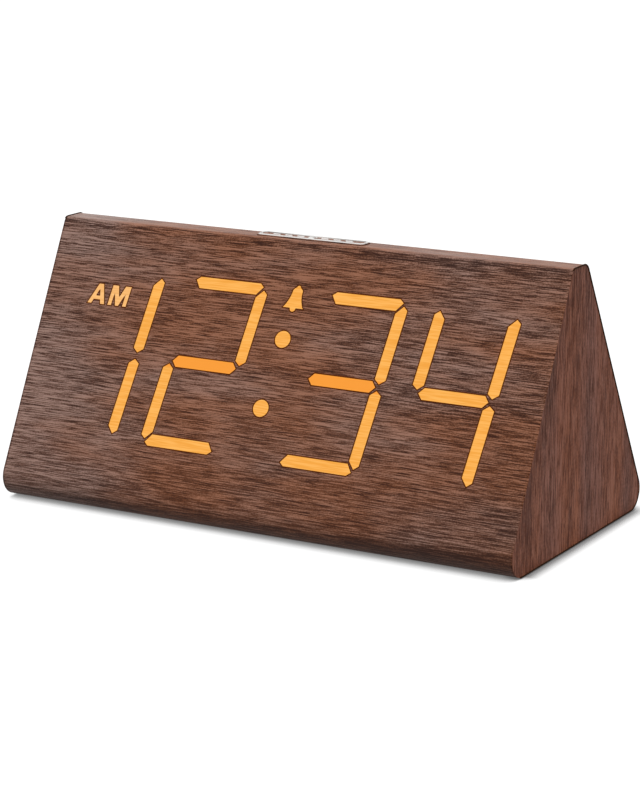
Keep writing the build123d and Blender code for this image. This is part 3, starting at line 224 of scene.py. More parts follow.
# %% [markdown]
# ## Walnut figure
# The wedge is covered with a printed and embossed walnut film. Its figure has several sizes: broad bands a
# few centimetres long, streaks that run along the grain, and thousands of short fibres that can be felt with
# a nail. All come from noise that is drawn out along the grain. One group makes them for the wrap, the ends
# and the key. Whoever uses the group turns the place first, so that its first axis runs along the grain.

# %% Walnut figure group
SWAY, SWAY_LENGTH, SWAY_WIDTH = 0.5 * MM, 90 * MM, 24 * MM
# Length of the spots along the grain and their width across it, in millimetres
LAYER_SIZES = {
    "Band": (70, 13),
    "Streak": (30, 1.5),
    "Fibre": (9, 0.24),
    "Pore": (6, 0.3),
    "Speckle": (0.5, 0.3),
    "Warmth": (55, 15),
}
# Detail of the noise, and the part of it that is spread from 0 to 1
LAYER_NOISE = {
    "Band": (2.5, 0.3, 0.7),
    "Streak": (2.0, 0.3, 0.7),
    "Fibre": (1.0, 0.42, 0.58),
    "Pore": (1.0, 0.57, 0.62),
    "Speckle": (0.0, 0.35, 0.65),
    "Warmth": (3.0, 0.34, 0.66),
}
LAYER_SHIFT = (0.37, 0.11, 0.23)


def size_sockets(sizes):
    """Spot sizes in millimetres as the group's inputs, in metres."""
    sockets = {}
    for label, (length, width) in sizes.items():
        sockets[label + " Length"] = length * MM
        sockets[label + " Width"] = width * MM
    return sockets


def grain_noise(tree, place, length, width, detail=2.0, roughness=0.5):
    """Noise with spots of this length along the grain, the first axis, and this width across it."""
    size = add(tree, "ShaderNodeCombineXYZ", {"X": length, "Y": width, "Z": width}).outputs[0]
    return noise(tree, vectors(tree, "DIVIDE", place, size), 1.0, detail, roughness)


def walnut_group():
    inputs = {"Place": (VECTOR, None), "Sway": (FLOAT, SWAY)}
    inputs |= {label: (FLOAT, size) for label, size in size_sockets(LAYER_SIZES).items()}
    outputs = dict.fromkeys(LAYER_SIZES, FLOAT)
    group, given, result = node_group("walnut_figure", "ShaderNodeTree", inputs, outputs)
    drift = grain_noise(group, given["Place"], SWAY_LENGTH, SWAY_WIDTH)
    swing = maths(group, "MULTIPLY", maths(group, "SUBTRACT", drift, 0.5), given["Sway"])
    sway = add(group, "ShaderNodeCombineXYZ", {"Y": swing, "Z": swing}).outputs[0]
    place = vectors(group, "ADD", given["Place"], sway)
    for label, (detail, low, high) in LAYER_NOISE.items():
        spots = grain_noise(group, place, given[label + " Length"], given[label + " Width"], detail)
        group.links.new(remap(group, spots, low, high), result.inputs[label])
        place = vectors(group, "ADD", place, LAYER_SHIFT)
    return group


walnut_figure = walnut_group()
print("walnut group has", len(walnut_figure.nodes), "nodes")

# %% [markdown]
# ## From figure to finish
# The patterns of the figure are weighed and added up to one tone, from dark to pale. That tone is coloured
# twice, greyish and reddish, and the slow warmth pattern chooses between the two. A single ramp would be
# simpler, but walnut wanders in colour as well as in depth. Both finishes are satin, and the pale fibres are
# a little glossier than the pores between them.

# %% Tone, colour and gloss of walnut
FIBRE_ROUGHNESS = 0.62, 0.48
PORE_DEPTH = -0.7


def ramp_of(tree, tone, colours):
    ramp = add(tree, "ShaderNodeValToRGB", {"Fac": tone})
    stops = ramp.color_ramp.elements
    stops[0].position, stops[0].color = 0.0, colours[0]
    stops[1].position, stops[1].color = 1.0, colours[2]
    stops.new(0.5).color = colours[1]
    return ramp.outputs[0]


def walnut_colour(tree, made, cool, warm, weights, shift=0.0, warmth=0.0, contrast=1.0):
    """The figure's patterns added up to one tone, coloured from two ramps and mixed by warmth."""
    figure = -sum(weights.values()) / 2
    for label, weight in weights.items():
        figure = maths(tree, "MULTIPLY_ADD", made[label], weight, figure)
    tone = maths(tree, "MULTIPLY_ADD", figure, contrast, maths(tree, "ADD", shift, 0.5))
    share = add(tree, "ShaderNodeClamp", {"Value": add_up(tree, made["Warmth"], warmth)}).outputs[0]
    return blend_colours(tree, share, ramp_of(tree, tone, cool), ramp_of(tree, tone, warm))


def walnut_finish(tree, shader, colour, made, relief):
    tree.links.new(colour, shader["Base Color"])
    tree.links.new(remap(tree, made["Fibre"], 0.0, 1.0, *FIBRE_ROUGHNESS), shader["Roughness"])
    height = maths(tree, "MULTIPLY_ADD", made["Pore"], PORE_DEPTH, made["Fibre"])
    tree.links.new(bump(tree, height, 1.0, relief), shader["Normal"])


# %% [markdown]
# ## Shades of the wrap
# The wrap's tone is uneven, and most of that is painted light. Its left end has a painted sheen that makes
# it paler, and it stops there in a thin dark cut edge. Painted shade darkens it to the right and towards the
# table. Below a wavy brink along the lower edge, where the wrap turns in, a band of painted shade darkens it
# again. Along the ridge it is folded over, with a painted shade line in front of the fold. The ridge has a
# painted highlight, paler and warmer. All of this could be painted by hand, but each shade is only a ramp or
# two along the clock's axes.

# %% Shades of the wrap
CUT_EDGE_FADE, CUT_EDGE_TONE = (0.35 * MM, 0.75 * MM), -0.45
# A painted sheen makes the left end paler.
LEFT_SHEEN_WIDTH, LEFT_SHEEN_TONE = 15 * MM, 0.08
# Painted shade to the right, deeper higher up.
RIGHT_SHADE_SPAN = -10 * MM, 60 * MM
RIGHT_SHADE_HEIGHTS, RIGHT_SHADE_TONES = (25 * MM, 70 * MM), (-0.06, -0.17)
# Painted shade towards the table, and a deeper band of it where the wrap turns in below a wavy brink.
LOW_SHADE_SPAN, LOW_SHADE_HEIGHTS = (-70 * MM, -20 * MM), (10 * MM, 26 * MM)
LOW_SHADE_TONE = -0.17
TURNED_IN_HEIGHTS, TURNED_IN_SHADE_TONES = (0.8 * MM, 5 * MM), (-0.13, -0.34)
BRINK_SPAN, BRINK_HEIGHTS = (-80 * MM, 80 * MM), (4.2 * MM, 5.9 * MM)
BRINK_WAVE, BRINK_FADE = 0.8 * MM, 0.5 * MM
# A painted shade line in front of the fold to the ridge.
FOLD_HEIGHTS = cad_high.z - 3.7 * MM, cad_high.z - 2.9 * MM
FOLD_FACING, FOLD_SHADE_TONE = (0.76, 0.9), -0.3


def sheen_shade_and_cut_edge(tree, axes, ridge):
    """Painted sheen to the left, a dark cut edge there, and painted shade to the right, not on the ridge."""
    from_left = maths(tree, "SUBTRACT", axes["X"], cad_low.x)
    cut_edge = remap(tree, from_left, *CUT_EDGE_FADE, CUT_EDGE_TONE, 0.0)
    left = remap(tree, from_left, 0.0, LEFT_SHEEN_WIDTH, LEFT_SHEEN_TONE, 0.0)
    shade = remap(tree, axes["Z"], *RIGHT_SHADE_HEIGHTS, *RIGHT_SHADE_TONES)
    right = remap(tree, axes["X"], *RIGHT_SHADE_SPAN, 0.0, shade)
    return add_up(tree, cut_edge, left, remap(tree, ridge, 0.0, 1.0, right, 0.0))


def low_painted_shade(tree, axes, made):
    """Painted shade towards the table, deeper again in a band where the wrap turns in below its brink."""
    depth = remap(tree, axes["X"], *LOW_SHADE_SPAN, 0.0, LOW_SHADE_TONE)
    shade = remap(tree, axes["Z"], *LOW_SHADE_HEIGHTS, depth, 0.0)
    turned_in_shade = remap(tree, axes["Z"], *TURNED_IN_HEIGHTS, *TURNED_IN_SHADE_TONES)
    level = remap(tree, axes["X"], *BRINK_SPAN, *BRINK_HEIGHTS)
    brink = maths(tree, "MULTIPLY_ADD", made["Streak"], BRINK_WAVE, level)
    faded = maths(tree, "ADD", brink, BRINK_FADE)
    return add_up(tree, shade, remap(tree, axes["Z"], brink, faded, turned_in_shade, 0.0))


def fold_shade_line(tree, axes, up):
    """A painted shade line along the top of the front, where the wrap bends over to the ridge."""
    line = remap(tree, axes["Z"], *FOLD_HEIGHTS, 0.0, FOLD_SHADE_TONE)
    return maths(tree, "MULTIPLY", line, remap(tree, up, *FOLD_FACING, 1.0, 0.0))


print("the fold's line starts at", round(FOLD_HEIGHTS[0] / MM, 1), "mm above the table")

# %% [markdown]
# ## Finish of the wrap
# The wrap's grain runs along the width, and its fibres are embossed. The ridge, which hands polish, has a
# clear coat that is stronger than on the slopes. How far a surface looks up tells the ridge from the rest.

# %% Finish of the wrap
COOL_TONES = ((0.036, 0.012, 0.007, 1), (0.135, 0.065, 0.046, 1), (0.34, 0.21, 0.17, 1))
WARM_TONES = ((0.042, 0.01, 0.003, 1), (0.143, 0.046, 0.018, 1), (0.33, 0.142, 0.082, 1))
WRAP_WEIGHTS = {"Band": 0.2, "Streak": 0.16, "Fibre": 0.7, "Pore": -0.4, "Speckle": 0.3}
# Cooler at the left end, as part of the painted sheen there.
WARM_LEFT_SPAN, WARM_LEFT = (-75 * MM, -30 * MM), (-0.55, 0.42)
WARM_RIGHT_SPAN, WARM_RIGHT = (15 * MM, 60 * MM), -0.35
CONTRAST_HEIGHTS, CONTRASTS = (15 * MM, 60 * MM), (0.9, 1.25)
# The ridge, which faces up to the light, gets a painted highlight: paler and warmer.
RIDGE_FACING, RIDGE_HIGHLIGHT_TONE, RIDGE_HIGHLIGHT_WARMTH = (0.78, 0.96), 0.3, 0.3
COAT_FACING, COATS = (0.7, 0.95), (0.2, 0.42)
WRAP_RELIEF = 0.05 * MM


def facing_up(tree):
    """1 where a surface looks straight up, 0 on a wall."""
    return split(tree, add(tree, "ShaderNodeNewGeometry").outputs["Normal"])["Z"]


def wrap_colour(tree, place, made):
    """The wrap's colour: its figure, its dark cut edge, and all its painted light and shade."""
    axes = split(tree, place)
    up = facing_up(tree)
    ridge = remap(tree, up, *RIDGE_FACING)
    ridge_highlight = maths(tree, "MULTIPLY", ridge, RIDGE_HIGHLIGHT_TONE)
    sides, lower = sheen_shade_and_cut_edge(tree, axes, ridge), low_painted_shade(tree, axes, made)
    shift = add_up(tree, sides, lower, fold_shade_line(tree, axes, up), ridge_highlight)
    warm_left = remap(tree, axes["X"], *WARM_LEFT_SPAN, *WARM_LEFT)
    warm_right = remap(tree, axes["X"], *WARM_RIGHT_SPAN, 0.0, WARM_RIGHT)
    warmth = add_up(tree, warm_left, warm_right, maths(tree, "MULTIPLY", ridge, RIDGE_HIGHLIGHT_WARMTH))
    contrast = remap(tree, axes["Z"], *CONTRAST_HEIGHTS, *CONTRASTS)
    return walnut_colour(tree, made, COOL_TONES, WARM_TONES, WRAP_WEIGHTS, shift, warmth, contrast)


def walnut_wrap():
    material, tree, shader, place = new_material("walnut_wrap", specular_ior_level=0.05, coat_roughness=0.35)
    made = use_group(tree, walnut_figure, {"Place": place})
    tree.links.new(remap(tree, facing_up(tree), *COAT_FACING, *COATS), shader["Coat Weight"])
    walnut_finish(tree, shader, wrap_colour(tree, place, made), made, WRAP_RELIEF)
    return material


finishes = {"walnut_veneer": walnut_wrap()}
print("the wrap's finish has", len(finishes["walnut_veneer"].node_tree.nodes), "nodes")

# %% [markdown]
# ## Finish of the ends
# The end sheets have their grain upright and are smoother, with broader fibres. They are darker in a strip
# behind the front. To the eye the thin rim of an end sheet belongs to the wrap's faces, so it takes the
# wrap's grain and colours. A separate piece for the rim would also do, but which way a face looks is enough.

# %% Finish of the ends
FRONT_SLOPE = math.radians(64.0)
FRONT_FACING = Vector((0, -math.sin(FRONT_SLOPE), math.cos(FRONT_SLOPE)))
END_COOL = ((0.075, 0.024, 0.013, 1), (0.185, 0.066, 0.042, 1), (0.33, 0.14, 0.1, 1))
END_WARM = ((0.09, 0.022, 0.009, 1), (0.21, 0.064, 0.03, 1), (0.37, 0.13, 0.066, 1))
END_WEIGHTS = {"Band": 0.6, "Streak": 0.4, "Fibre": 0.6, "Pore": -0.35, "Speckle": 0.25}
END_SIZES = {
    "Band": (140, 10),
    "Streak": (28, 1.3),
    "Fibre": (7, 0.42),
    "Pore": (5, 0.5),
    "Speckle": (0.9, 0.5),
    "Warmth": (120, 12),
}
END_SWAY = 1.5 * MM
END_SHADE_DEPTHS, END_SHADE_TONES = (3 * MM, 12 * MM), (-0.28, -0.02)
END_RELIEF = 0.015 * MM
UPRIGHT = (0, math.radians(90), 0)
SIDEWAYS = 0.5


def walnut_end():
    material, tree, shader, place = new_material("walnut_end", specular_ior_level=0.08)
    upright = add(tree, "ShaderNodeMapping", {"Vector": place, "Rotation": UPRIGHT}).outputs[0]
    sizes = size_sockets(END_SIZES) | {"Place": upright, "Sway": END_SWAY}
    made = use_group(tree, walnut_figure, sizes)
    front = max(vertex.co.dot(FRONT_FACING) for vertex in nodes["right_end_veneer"].data.vertices)
    behind = maths(tree, "SUBTRACT", front, vectors(tree, "DOT_PRODUCT", place, FRONT_FACING))
    shade = remap(tree, behind, *END_SHADE_DEPTHS, *END_SHADE_TONES)
    flat = walnut_colour(tree, made, END_COOL, END_WARM, END_WEIGHTS, shade)
    rim = wrap_colour(tree, place, use_group(tree, walnut_figure, {"Place": place}))
    facing = split(tree, add(tree, "ShaderNodeNewGeometry").outputs["True Normal"])
    on_end = maths(tree, "GREATER_THAN", maths(tree, "ABSOLUTE", facing["X"]), SIDEWAYS)
    walnut_finish(tree, shader, blend_colours(tree, on_end, rim, flat), made, END_RELIEF)
    return material


finishes["walnut_end_veneer"] = walnut_end()
print("the ends' finish has", len(finishes["walnut_end_veneer"].node_tree.nodes), "nodes")

# %% [markdown]
# ## Lit windows
# Behind each lit stroke the film is thinned until light comes through. It glows evenly, with a trace of the
# grain still in it. The bars in the middle of the display glow a little redder, and the small letters paler.
# A lamp behind each window would light it too, but slowly and with noise, so the windows glow by themselves.

# %% Amber light
MAIN_GLOW = ((0.85, 0.35, 0.042, 1), (0.94, 0.45, 0.092, 1))
PALE_GLOW = ((0.83, 0.42, 0.13, 1), (0.92, 0.5, 0.18, 1))
DEEP_GLOW = (0.885, 0.3, 0.024, 1)
UNLIT_AMBER = (0.06, 0.026, 0.006, 1)
GLOW_GRAIN_LENGTH, GLOW_GRAIN_WIDTH, GLOW_GRAIN_SPREAD = 9 * MM, 0.4 * MM, (0.38, 0.62)
FRONT_UP = Vector((0, math.cos(FRONT_SLOPE), math.sin(FRONT_SLOPE)))
MIDDLE_BAR_FADE, MIDDLE_BAR_SHARE = (1.9 * MM, 2.2 * MM), 0.95
MIDDLE_BARS_REACH = 43 * MM


def box_middle(name):
    low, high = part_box(name)
    return (low + high) / 2


def amber_light(name, tones):
    material, tree, shader, place = new_material(name, roughness=0.5, specular_ior_level=0.2)
    shader["Base Color"].default_value = UNLIT_AMBER
    shader["Emission Strength"].default_value = 1.0
    grain = grain_noise(tree, place, GLOW_GRAIN_LENGTH, GLOW_GRAIN_WIDTH, detail=1.0, roughness=0.6)
    glow = blend_colours(tree, remap(tree, grain, *GLOW_GRAIN_SPREAD), *tones)
    digit = box_middle("minute_tens_light")
    centre = Vector((box_middle("colon_light").x, digit.y, digit.z))
    offset = vectors(tree, "SUBTRACT", place, centre)
    across = maths(tree, "ABSOLUTE", split(tree, offset)["X"])
    rise = maths(tree, "ABSOLUTE", vectors(tree, "DOT_PRODUCT", offset, FRONT_UP))
    level = remap(tree, rise, *MIDDLE_BAR_FADE, MIDDLE_BAR_SHARE, 0.0)
    redder = maths(tree, "MULTIPLY", level, maths(tree, "LESS_THAN", across, MIDDLE_BARS_REACH))
    tree.links.new(blend_colours(tree, redder, glow, DEEP_GLOW), shader["Emission Color"])
    return material


finishes["amber_light"] = amber_light("amber_light", MAIN_GLOW)
pale_amber = amber_light("pale_amber", PALE_GLOW)
print("two ambers:", finishes["amber_light"].name, "and", pale_amber.name)

# %% [markdown]
# ## Moulded, metal and hidden finishes
# The panel, buttons and battery box are moulded plastic: a fine spark-eroded grain breaks up their gloss. One
# group makes that speckle, and each material sets its own colour, size and depth. Metals get fine brushing,
# the inner boards a fibrous mottle. These pieces show when the clock is turned round, or the battery door is
# open.

# %% Speckle group
FINE_SCALE, PATCH_SCALE, SPECKLE_SPREAD = 2500.0, 60.0, (0.3, 0.7)
GRAIN_DEPTH = 0.02 * MM
EVEN = (1.0, 1.0, 1.0)


def speckle_group():
    inputs = {"Place": (VECTOR, None), "Scale": (FLOAT, FINE_SCALE), "Patches": (FLOAT, PATCH_SCALE)}
    outputs = {"Speckle": FLOAT, "Mottle": FLOAT}
    group, given, result = node_group("moulded_speckle", "ShaderNodeTree", inputs, outputs)
    fine = noise(group, given["Place"], given["Scale"], detail=2.0, roughness=0.6)
    broad = noise(group, given["Place"], given["Patches"], detail=3.0, roughness=0.55)
    group.links.new(remap(group, fine, *SPECKLE_SPREAD), result.inputs["Speckle"])
    group.links.new(remap(group, broad, *SPECKLE_SPREAD), result.inputs["Mottle"])
    return group


moulded_speckle = speckle_group()


def moulded(name, dark, light, rough, relief=GRAIN_DEPTH, scale=FINE_SCALE, stretch=EVEN, **shader):
    """A finish that wanders between two colours, with a fine grain in its gloss and relief."""
    material, tree, sockets, place = new_material(name, **shader)
    drawn = vectors(tree, "MULTIPLY", place, stretch)
    made = use_group(tree, moulded_speckle, {"Place": drawn, "Scale": scale})
    share = maths(tree, "MULTIPLY", maths(tree, "ADD", made["Mottle"], made["Speckle"]), 0.5)
    tree.links.new(blend_colours(tree, share, (*dark, 1), (*light, 1)), sockets["Base Color"])
    tree.links.new(remap(tree, made["Speckle"], 0.0, 1.0, *rough), sockets["Roughness"])
    tree.links.new(bump(tree, made["Speckle"], 0.5, relief), sockets["Normal"])
    return material


print("speckle group has", len(moulded_speckle.nodes), "nodes")

# %% Plain finishes
# Depths of relief
RUBBER_RELIEF, CABLE_RELIEF = 0.03 * MM, 0.008 * MM
SMOOTH, FLAT = 0.006 * MM, 0.004 * MM
BRUSHED = {"stretch": (0.05, 1.0, 1.0), "metallic": 1.0}
# Dark colour, light colour, roughness of the grain's two ends, and what else is not as usual
PLAIN_FINISHES = {
    "fibreboard": ((0.34, 0.24, 0.15), (0.55, 0.42, 0.28), (0.8, 0.95), {"scale": 1800.0}),
    "black_plastic": ((0.014, 0.014, 0.015), (0.026, 0.026, 0.028), (0.42, 0.6), {}),
    "button_plastic": ((0.03, 0.03, 0.032), (0.048, 0.048, 0.05), (0.3, 0.42), {"relief": SMOOTH}),
    "white_plastic": ((0.72, 0.72, 0.69), (0.82, 0.82, 0.79), (0.5, 0.65), {}),
    "milk_plastic": ((0.75, 0.75, 0.7), (0.84, 0.84, 0.8), (0.4, 0.5), {}),
    "circuit_board": ((0.012, 0.09, 0.035), (0.03, 0.16, 0.06), (0.3, 0.45), {"scale": 900.0}),
    "chip_plastic": ((0.016, 0.016, 0.017), (0.028, 0.028, 0.03), (0.5, 0.65), {}),
    "diode_resin": ((0.75, 0.55, 0.16), (0.88, 0.7, 0.28), (0.15, 0.25), {"relief": FLAT}),
    "screw_steel": ((0.24, 0.24, 0.25), (0.36, 0.36, 0.37), (0.28, 0.42), {"relief": SMOOTH} | BRUSHED),
    "contact_metal": ((0.36, 0.35, 0.33), (0.5, 0.49, 0.46), (0.25, 0.4), {"relief": FLAT} | BRUSHED),
    "foot_rubber": ((0.02, 0.02, 0.02), (0.036, 0.036, 0.036), (0.75, 0.9), {"relief": RUBBER_RELIEF}),
    "speaker_metal": ((0.05, 0.05, 0.055), (0.085, 0.085, 0.09), (0.35, 0.5), {}),
    "speaker_paper": ((0.012, 0.012, 0.012), (0.03, 0.029, 0.028), (0.85, 0.95), {}),
    "cable_jacket": ((0.3, 0.3, 0.31), (0.4, 0.4, 0.41), (0.45, 0.6), {"relief": CABLE_RELIEF}),
}
for name, (dark, light, rough, extras) in PLAIN_FINISHES.items():
    finishes[name] = moulded(name, dark, light, rough, **extras)
print(len(PLAIN_FINISHES), "plain finishes")

# %% [markdown]
# ## Battery cells
# Each cell has a plain slate sleeve with one pale ring near its plus end, and bare metal at both ends. The
# cells lie along the width, so the distance from the middle of the clock tells sleeve from metal. The middle
# cell lies the other way round.

# %% Battery cells
BARE_END = 1.6 * MM
RING_FROM_END, RING_HALF_WIDTH = 8 * MM, 1.5 * MM
SLEEVE, RING, BARE_METAL = (0.03, 0.05, 0.085, 1), (0.6, 0.62, 0.64, 1), (0.5, 0.49, 0.47, 1)
SLEEVE_ROUGHNESS = 0.26, 0.38


def cell_jacket():
    material, tree, shader, place = new_material("cell_jacket")
    low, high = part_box("battery_cells")
    axes = split(tree, place)
    bare = maths(tree, "GREATER_THAN", maths(tree, "ABSOLUTE", axes["X"]), high.x - BARE_END)
    row = maths(tree, "ABSOLUTE", maths(tree, "SUBTRACT", axes["Y"], (low.y + high.y) / 2))
    in_middle = maths(tree, "LESS_THAN", row, (high.y - low.y) / 6)
    along = maths(tree, "MULTIPLY", axes["X"], remap(tree, in_middle, 0.0, 1.0, 1.0, -1.0))
    from_ring = maths(tree, "ABSOLUTE", maths(tree, "SUBTRACT", along, high.x - RING_FROM_END))
    ring = maths(tree, "LESS_THAN", from_ring, RING_HALF_WIDTH)
    sleeve = blend_colours(tree, ring, SLEEVE, RING)
    tree.links.new(blend_colours(tree, bare, sleeve, BARE_METAL), shader["Base Color"])
    tree.links.new(bare, shader["Metallic"])
    speckle = use_group(tree, moulded_speckle, {"Place": place})["Speckle"]
    tree.links.new(remap(tree, speckle, 0.0, 1.0, *SLEEVE_ROUGHNESS), shader["Roughness"])
    return material


finishes["cell_jacket"] = cell_jacket()
print("the cells' finish has", len(finishes["cell_jacket"].node_tree.nodes), "nodes")

# %% [markdown]
# ## Finishes on the pieces
# The record names a finish for every piece of the clock, as a parts list does. Setting each by hand would
# be long and easy to get wrong, so one loop looks the names up. Only the small letters differ: they shine
# through the same film as the digits, but paler.

# %% Give every node its finish
MORNING_MARK = "morning_mark_light"
for part in frame["record"]["subparts"]:
    slots = nodes[part["node"]].data.materials
    slots.clear()
    slots.append(pale_amber if part["node"] == MORNING_MARK else finishes[part["material_slot"]])

# %% [markdown]
# ## A tool for thin lines
# Several things on the clock are thin lines on a surface: the dark edge round each lit window, the print on
# the key and on the rear panel, and the dark corner where two sheets of film meet. They could be painted in a
# texture, but a line with a little body is crisp at any distance, and stays with the mesh.
# One Geometry Nodes tree serves them all. It takes loose edges, rounds their corners, sweeps a small circle
# along them, and then presses the tube flat against the surface that it lies on.

# %% Raised line tree
CORNER_STEPS, LINE_SIDES = 3, 8


def sweep(tree, line, radius, sides):
    """A closed tube along a curve."""
    circle = {"Resolution": sides, "Radius": radius}
    profile = add(tree, "GeometryNodeCurvePrimitiveCircle", circle).outputs[0]
    sockets = {"Curve": line, "Profile Curve": profile, "Fill Caps": True}
    return add(tree, "GeometryNodeCurveToMesh", sockets).outputs[0]


def end_tree(tree, result, shape, material):
    """Ends a tree with real faces and their material, because the export drops instances."""
    whole = add(tree, "GeometryNodeRealizeInstances", {"Geometry": shape}).outputs[0]
    painted = add(tree, "GeometryNodeSetMaterial", {"Geometry": whole, "Material": material}).outputs[0]
    tree.links.new(painted, result.inputs["Geometry"])


def raised_line_tree():
    inputs = {
        "Geometry": (GEOMETRY, None),
        "Line Width": (FLOAT, 0.3 * MM),
        "Height Share": (FLOAT, 0.2),
        "Corner Radius": (FLOAT, 0.1 * MM),
        "Facing": (VECTOR, (0, 0, 1)),
        "Material": (MATERIAL, None),
    }
    tree, given, result = node_group("raised_line", "GeometryNodeTree", inputs, {"Geometry": GEOMETRY})
    line = add(tree, "GeometryNodeMeshToCurve", {"Mesh": given["Geometry"]}).outputs[0]
    corner = {"Curve": line, "Radius": given["Corner Radius"], "Limit Radius": True, "Count": CORNER_STEPS}
    line = add(tree, "GeometryNodeFilletCurve", corner, mode="POLY").outputs[0]
    position = add(tree, "GeometryNodeInputPosition").outputs[0]
    kept = add(tree, "GeometryNodeCaptureAttribute", domain="POINT")
    kept.capture_items.new("VECTOR", "Centre")
    fill(tree, kept, {"Geometry": line, "Centre": position})
    half_width = maths(tree, "MULTIPLY", given["Line Width"], 0.5)
    tube = sweep(tree, kept.outputs["Geometry"], half_width, LINE_SIDES)
    away = vectors(tree, "SUBTRACT", position, kept.outputs["Centre"])
    rise = vectors(tree, "DOT_PRODUCT", away, given["Facing"])
    press = maths(tree, "MULTIPLY", rise, maths(tree, "SUBTRACT", given["Height Share"], 1.0))
    pressed = {"Geometry": tube, "Offset": scaled(tree, given["Facing"], press)}
    flat = add(tree, "GeometryNodeSetPosition", pressed).outputs[0]
    end_tree(tree, result, flat, given["Material"])
    return tree


raised_line = raised_line_tree()
print("raised line tree has", len(raised_line.nodes), "nodes")


# %% Grow a piece with a tree
def grow(name, seed, tree, body, slot, **values):
    """Runs a geometry tree on a seed mesh, keeps the result as a plain mesh, and lets it ride on a body."""
    piece = new_object(name, seed)
    modifier = piece.modifiers.new(tree.name, "NODES")
    modifier.node_group = tree
    for item in tree.interface.items_tree:
        key = item.name.lower().replace(" ", "_")
        if item.in_out == "INPUT" and key in values:
            modifier[item.identifier] = values[key]
    shown = piece.evaluated_get(bpy.context.evaluated_depsgraph_get())
    made = bpy.data.meshes.new_from_object(shown)
    piece.modifiers.remove(modifier)
    piece.data = made
    made.name = name
    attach(piece, body)
    print(name, "has", len(made.polygons), "faces and rides on", body)


# %% [markdown]
# ## Dark edges
# Round every lit stroke lies a thin line of dark reddish brown, about as wide as a pencil's. The outline
# comes from the window itself: its front faces are kept, and only the edges that have a face on one side.
# The ends are trimmed the same way: a dark line runs along the ridge, rear and base of each end sheet.
# It is the dark joint where the films meet, and partly painted shade along the rear edge and a painted
# contact shadow along the base. It leaves out the front, where the sheets meet cleanly.

# %% Outlines of flat faces
SAME_POINT = 0.001 * MM
SAME_FACING = 0.99
BARE_LIMIT = 0.4


def way_out(edge, facing):
    """The direction across an outline's edge, in the plane of its face and away from it."""
    start, end = (vertex.co for vertex in edge.verts)
    side = (end - start).cross(facing).normalized()
    inner = edge.link_faces[0].calc_center_median() - start
    return -side if side.dot(inner) > 0 else side


def outward(vertex, facing):
    """How far a corner of an outline moves, and which way, when the outline grows by one unit."""
    first, second = (way_out(edge, facing) for edge in vertex.link_edges if len(edge.link_faces) == 1)
    return (first + second) / (1 + first.dot(second))


def face_outlines(seeds, growth=0.0, bare_side=None):
    """The outlines of the flat faces of nodes, given as {node: the way that those faces look}.

    Edges that look towards bare_side get no line.
    """
    lines = bmesh.new()
    for name, facing in seeds.items():
        shape = bmesh.new()
        shape.from_mesh(nodes[name].data)
        bmesh.ops.remove_doubles(shape, verts=shape.verts, dist=SAME_POINT)
        away = [face for face in shape.faces if face.normal.dot(facing) < SAME_FACING]
        bmesh.ops.delete(shape, geom=away, context="FACES")
        for edge in shape.edges:
            if len(edge.link_faces) > 1:
                continue
            if bare_side and way_out(edge, facing).dot(bare_side) > BARE_LIMIT:
                continue
            places = [vertex.co + growth * outward(vertex, facing) for vertex in edge.verts]
            lines.edges.new([lines.verts.new(place) for place in places])
        shape.free()
    bmesh.ops.remove_doubles(lines, verts=lines.verts, dist=SAME_POINT)
    mesh = bpy.data.meshes.new("outlines")
    lines.to_mesh(mesh)
    lines.free()
    return mesh


# %% Dark edges of the windows and ends
MATT = {"rough": (0.8, 0.9), "relief": FLAT, "specular_ior_level": 0.05}
# The films' dark joint, with painted shade on the rear edge and a painted contact shadow on the base.
edge_brown = moulded("edge_brown", (0.026, 0.009, 0.004), (0.042, 0.015, 0.006), **MATT)
singed_brown = moulded("singed_brown", (0.085, 0.016, 0.0008), (0.12, 0.024, 0.0015), **MATT)
EDGE_OUT = 0.15 * MM
CRISP_CORNER = 0.05 * MM
BARE_FRONT = direction(0, math.radians(-13.5))
windows = {name: FRONT_FACING for name in nodes if name.endswith("_light")}
grow(
    "window_edges", face_outlines(windows, EDGE_OUT), raised_line, "case", "walnut_veneer",
    line_width=0.38 * MM, height_share=0.11, corner_radius=CRISP_CORNER, facing=FRONT_FACING,
    material=singed_brown,
)
ends = {"left_end_veneer": Vector((-1, 0, 0)), "right_end_veneer": Vector((1, 0, 0))}
grow(
    "end_edges", face_outlines(ends, bare_side=BARE_FRONT), raised_line, "case", "walnut_end_veneer",
    line_width=0.5 * MM, height_share=1.0, corner_radius=0.0, material=edge_brown,
)

# %% [markdown]
# ## Drawing with strokes
# The print on the key and on the rear panel is drawn with strokes, written in millimetres about the middle
# of each sign. Arcs come from a formula. A font could give some signs, but a few strokes are plainer. They
# are laid on a plane as a mesh of loose edges, which the line tool then gives a body.

# %% Strokes
def arc(middle, radius, start, end, steps):
    """Points along part of a circle, in degrees from the first axis."""
    angles = [math.radians(start + (end - start) * k / steps) for k in range(steps + 1)]
    return [(middle[0] + radius * math.cos(a), middle[1] + radius * math.sin(a)) for a in angles]


def closed(points):
    return points + points[:1]


def moved(path, across, up):
    return [(x + across, y + up) for x, y in path]


def drawing(paths, origin, across, up):
    """Paths in millimetres, laid on a plane as a mesh of loose edges."""
    mesh = bpy.data.meshes.new("drawing")
    points, edges = [], []
    for path in paths:
        ring = path[0] == path[-1]
        first = len(points)
        points += [origin + (across * x + up * y) * MM for x, y in (path[:-1] if ring else path)]
        last = len(points) - 1
        edges += [(k, k + 1) for k in range(first, last)]
        if ring:
            edges.append((last, first))
    mesh.from_pydata(points, edges, [])
    return mesh


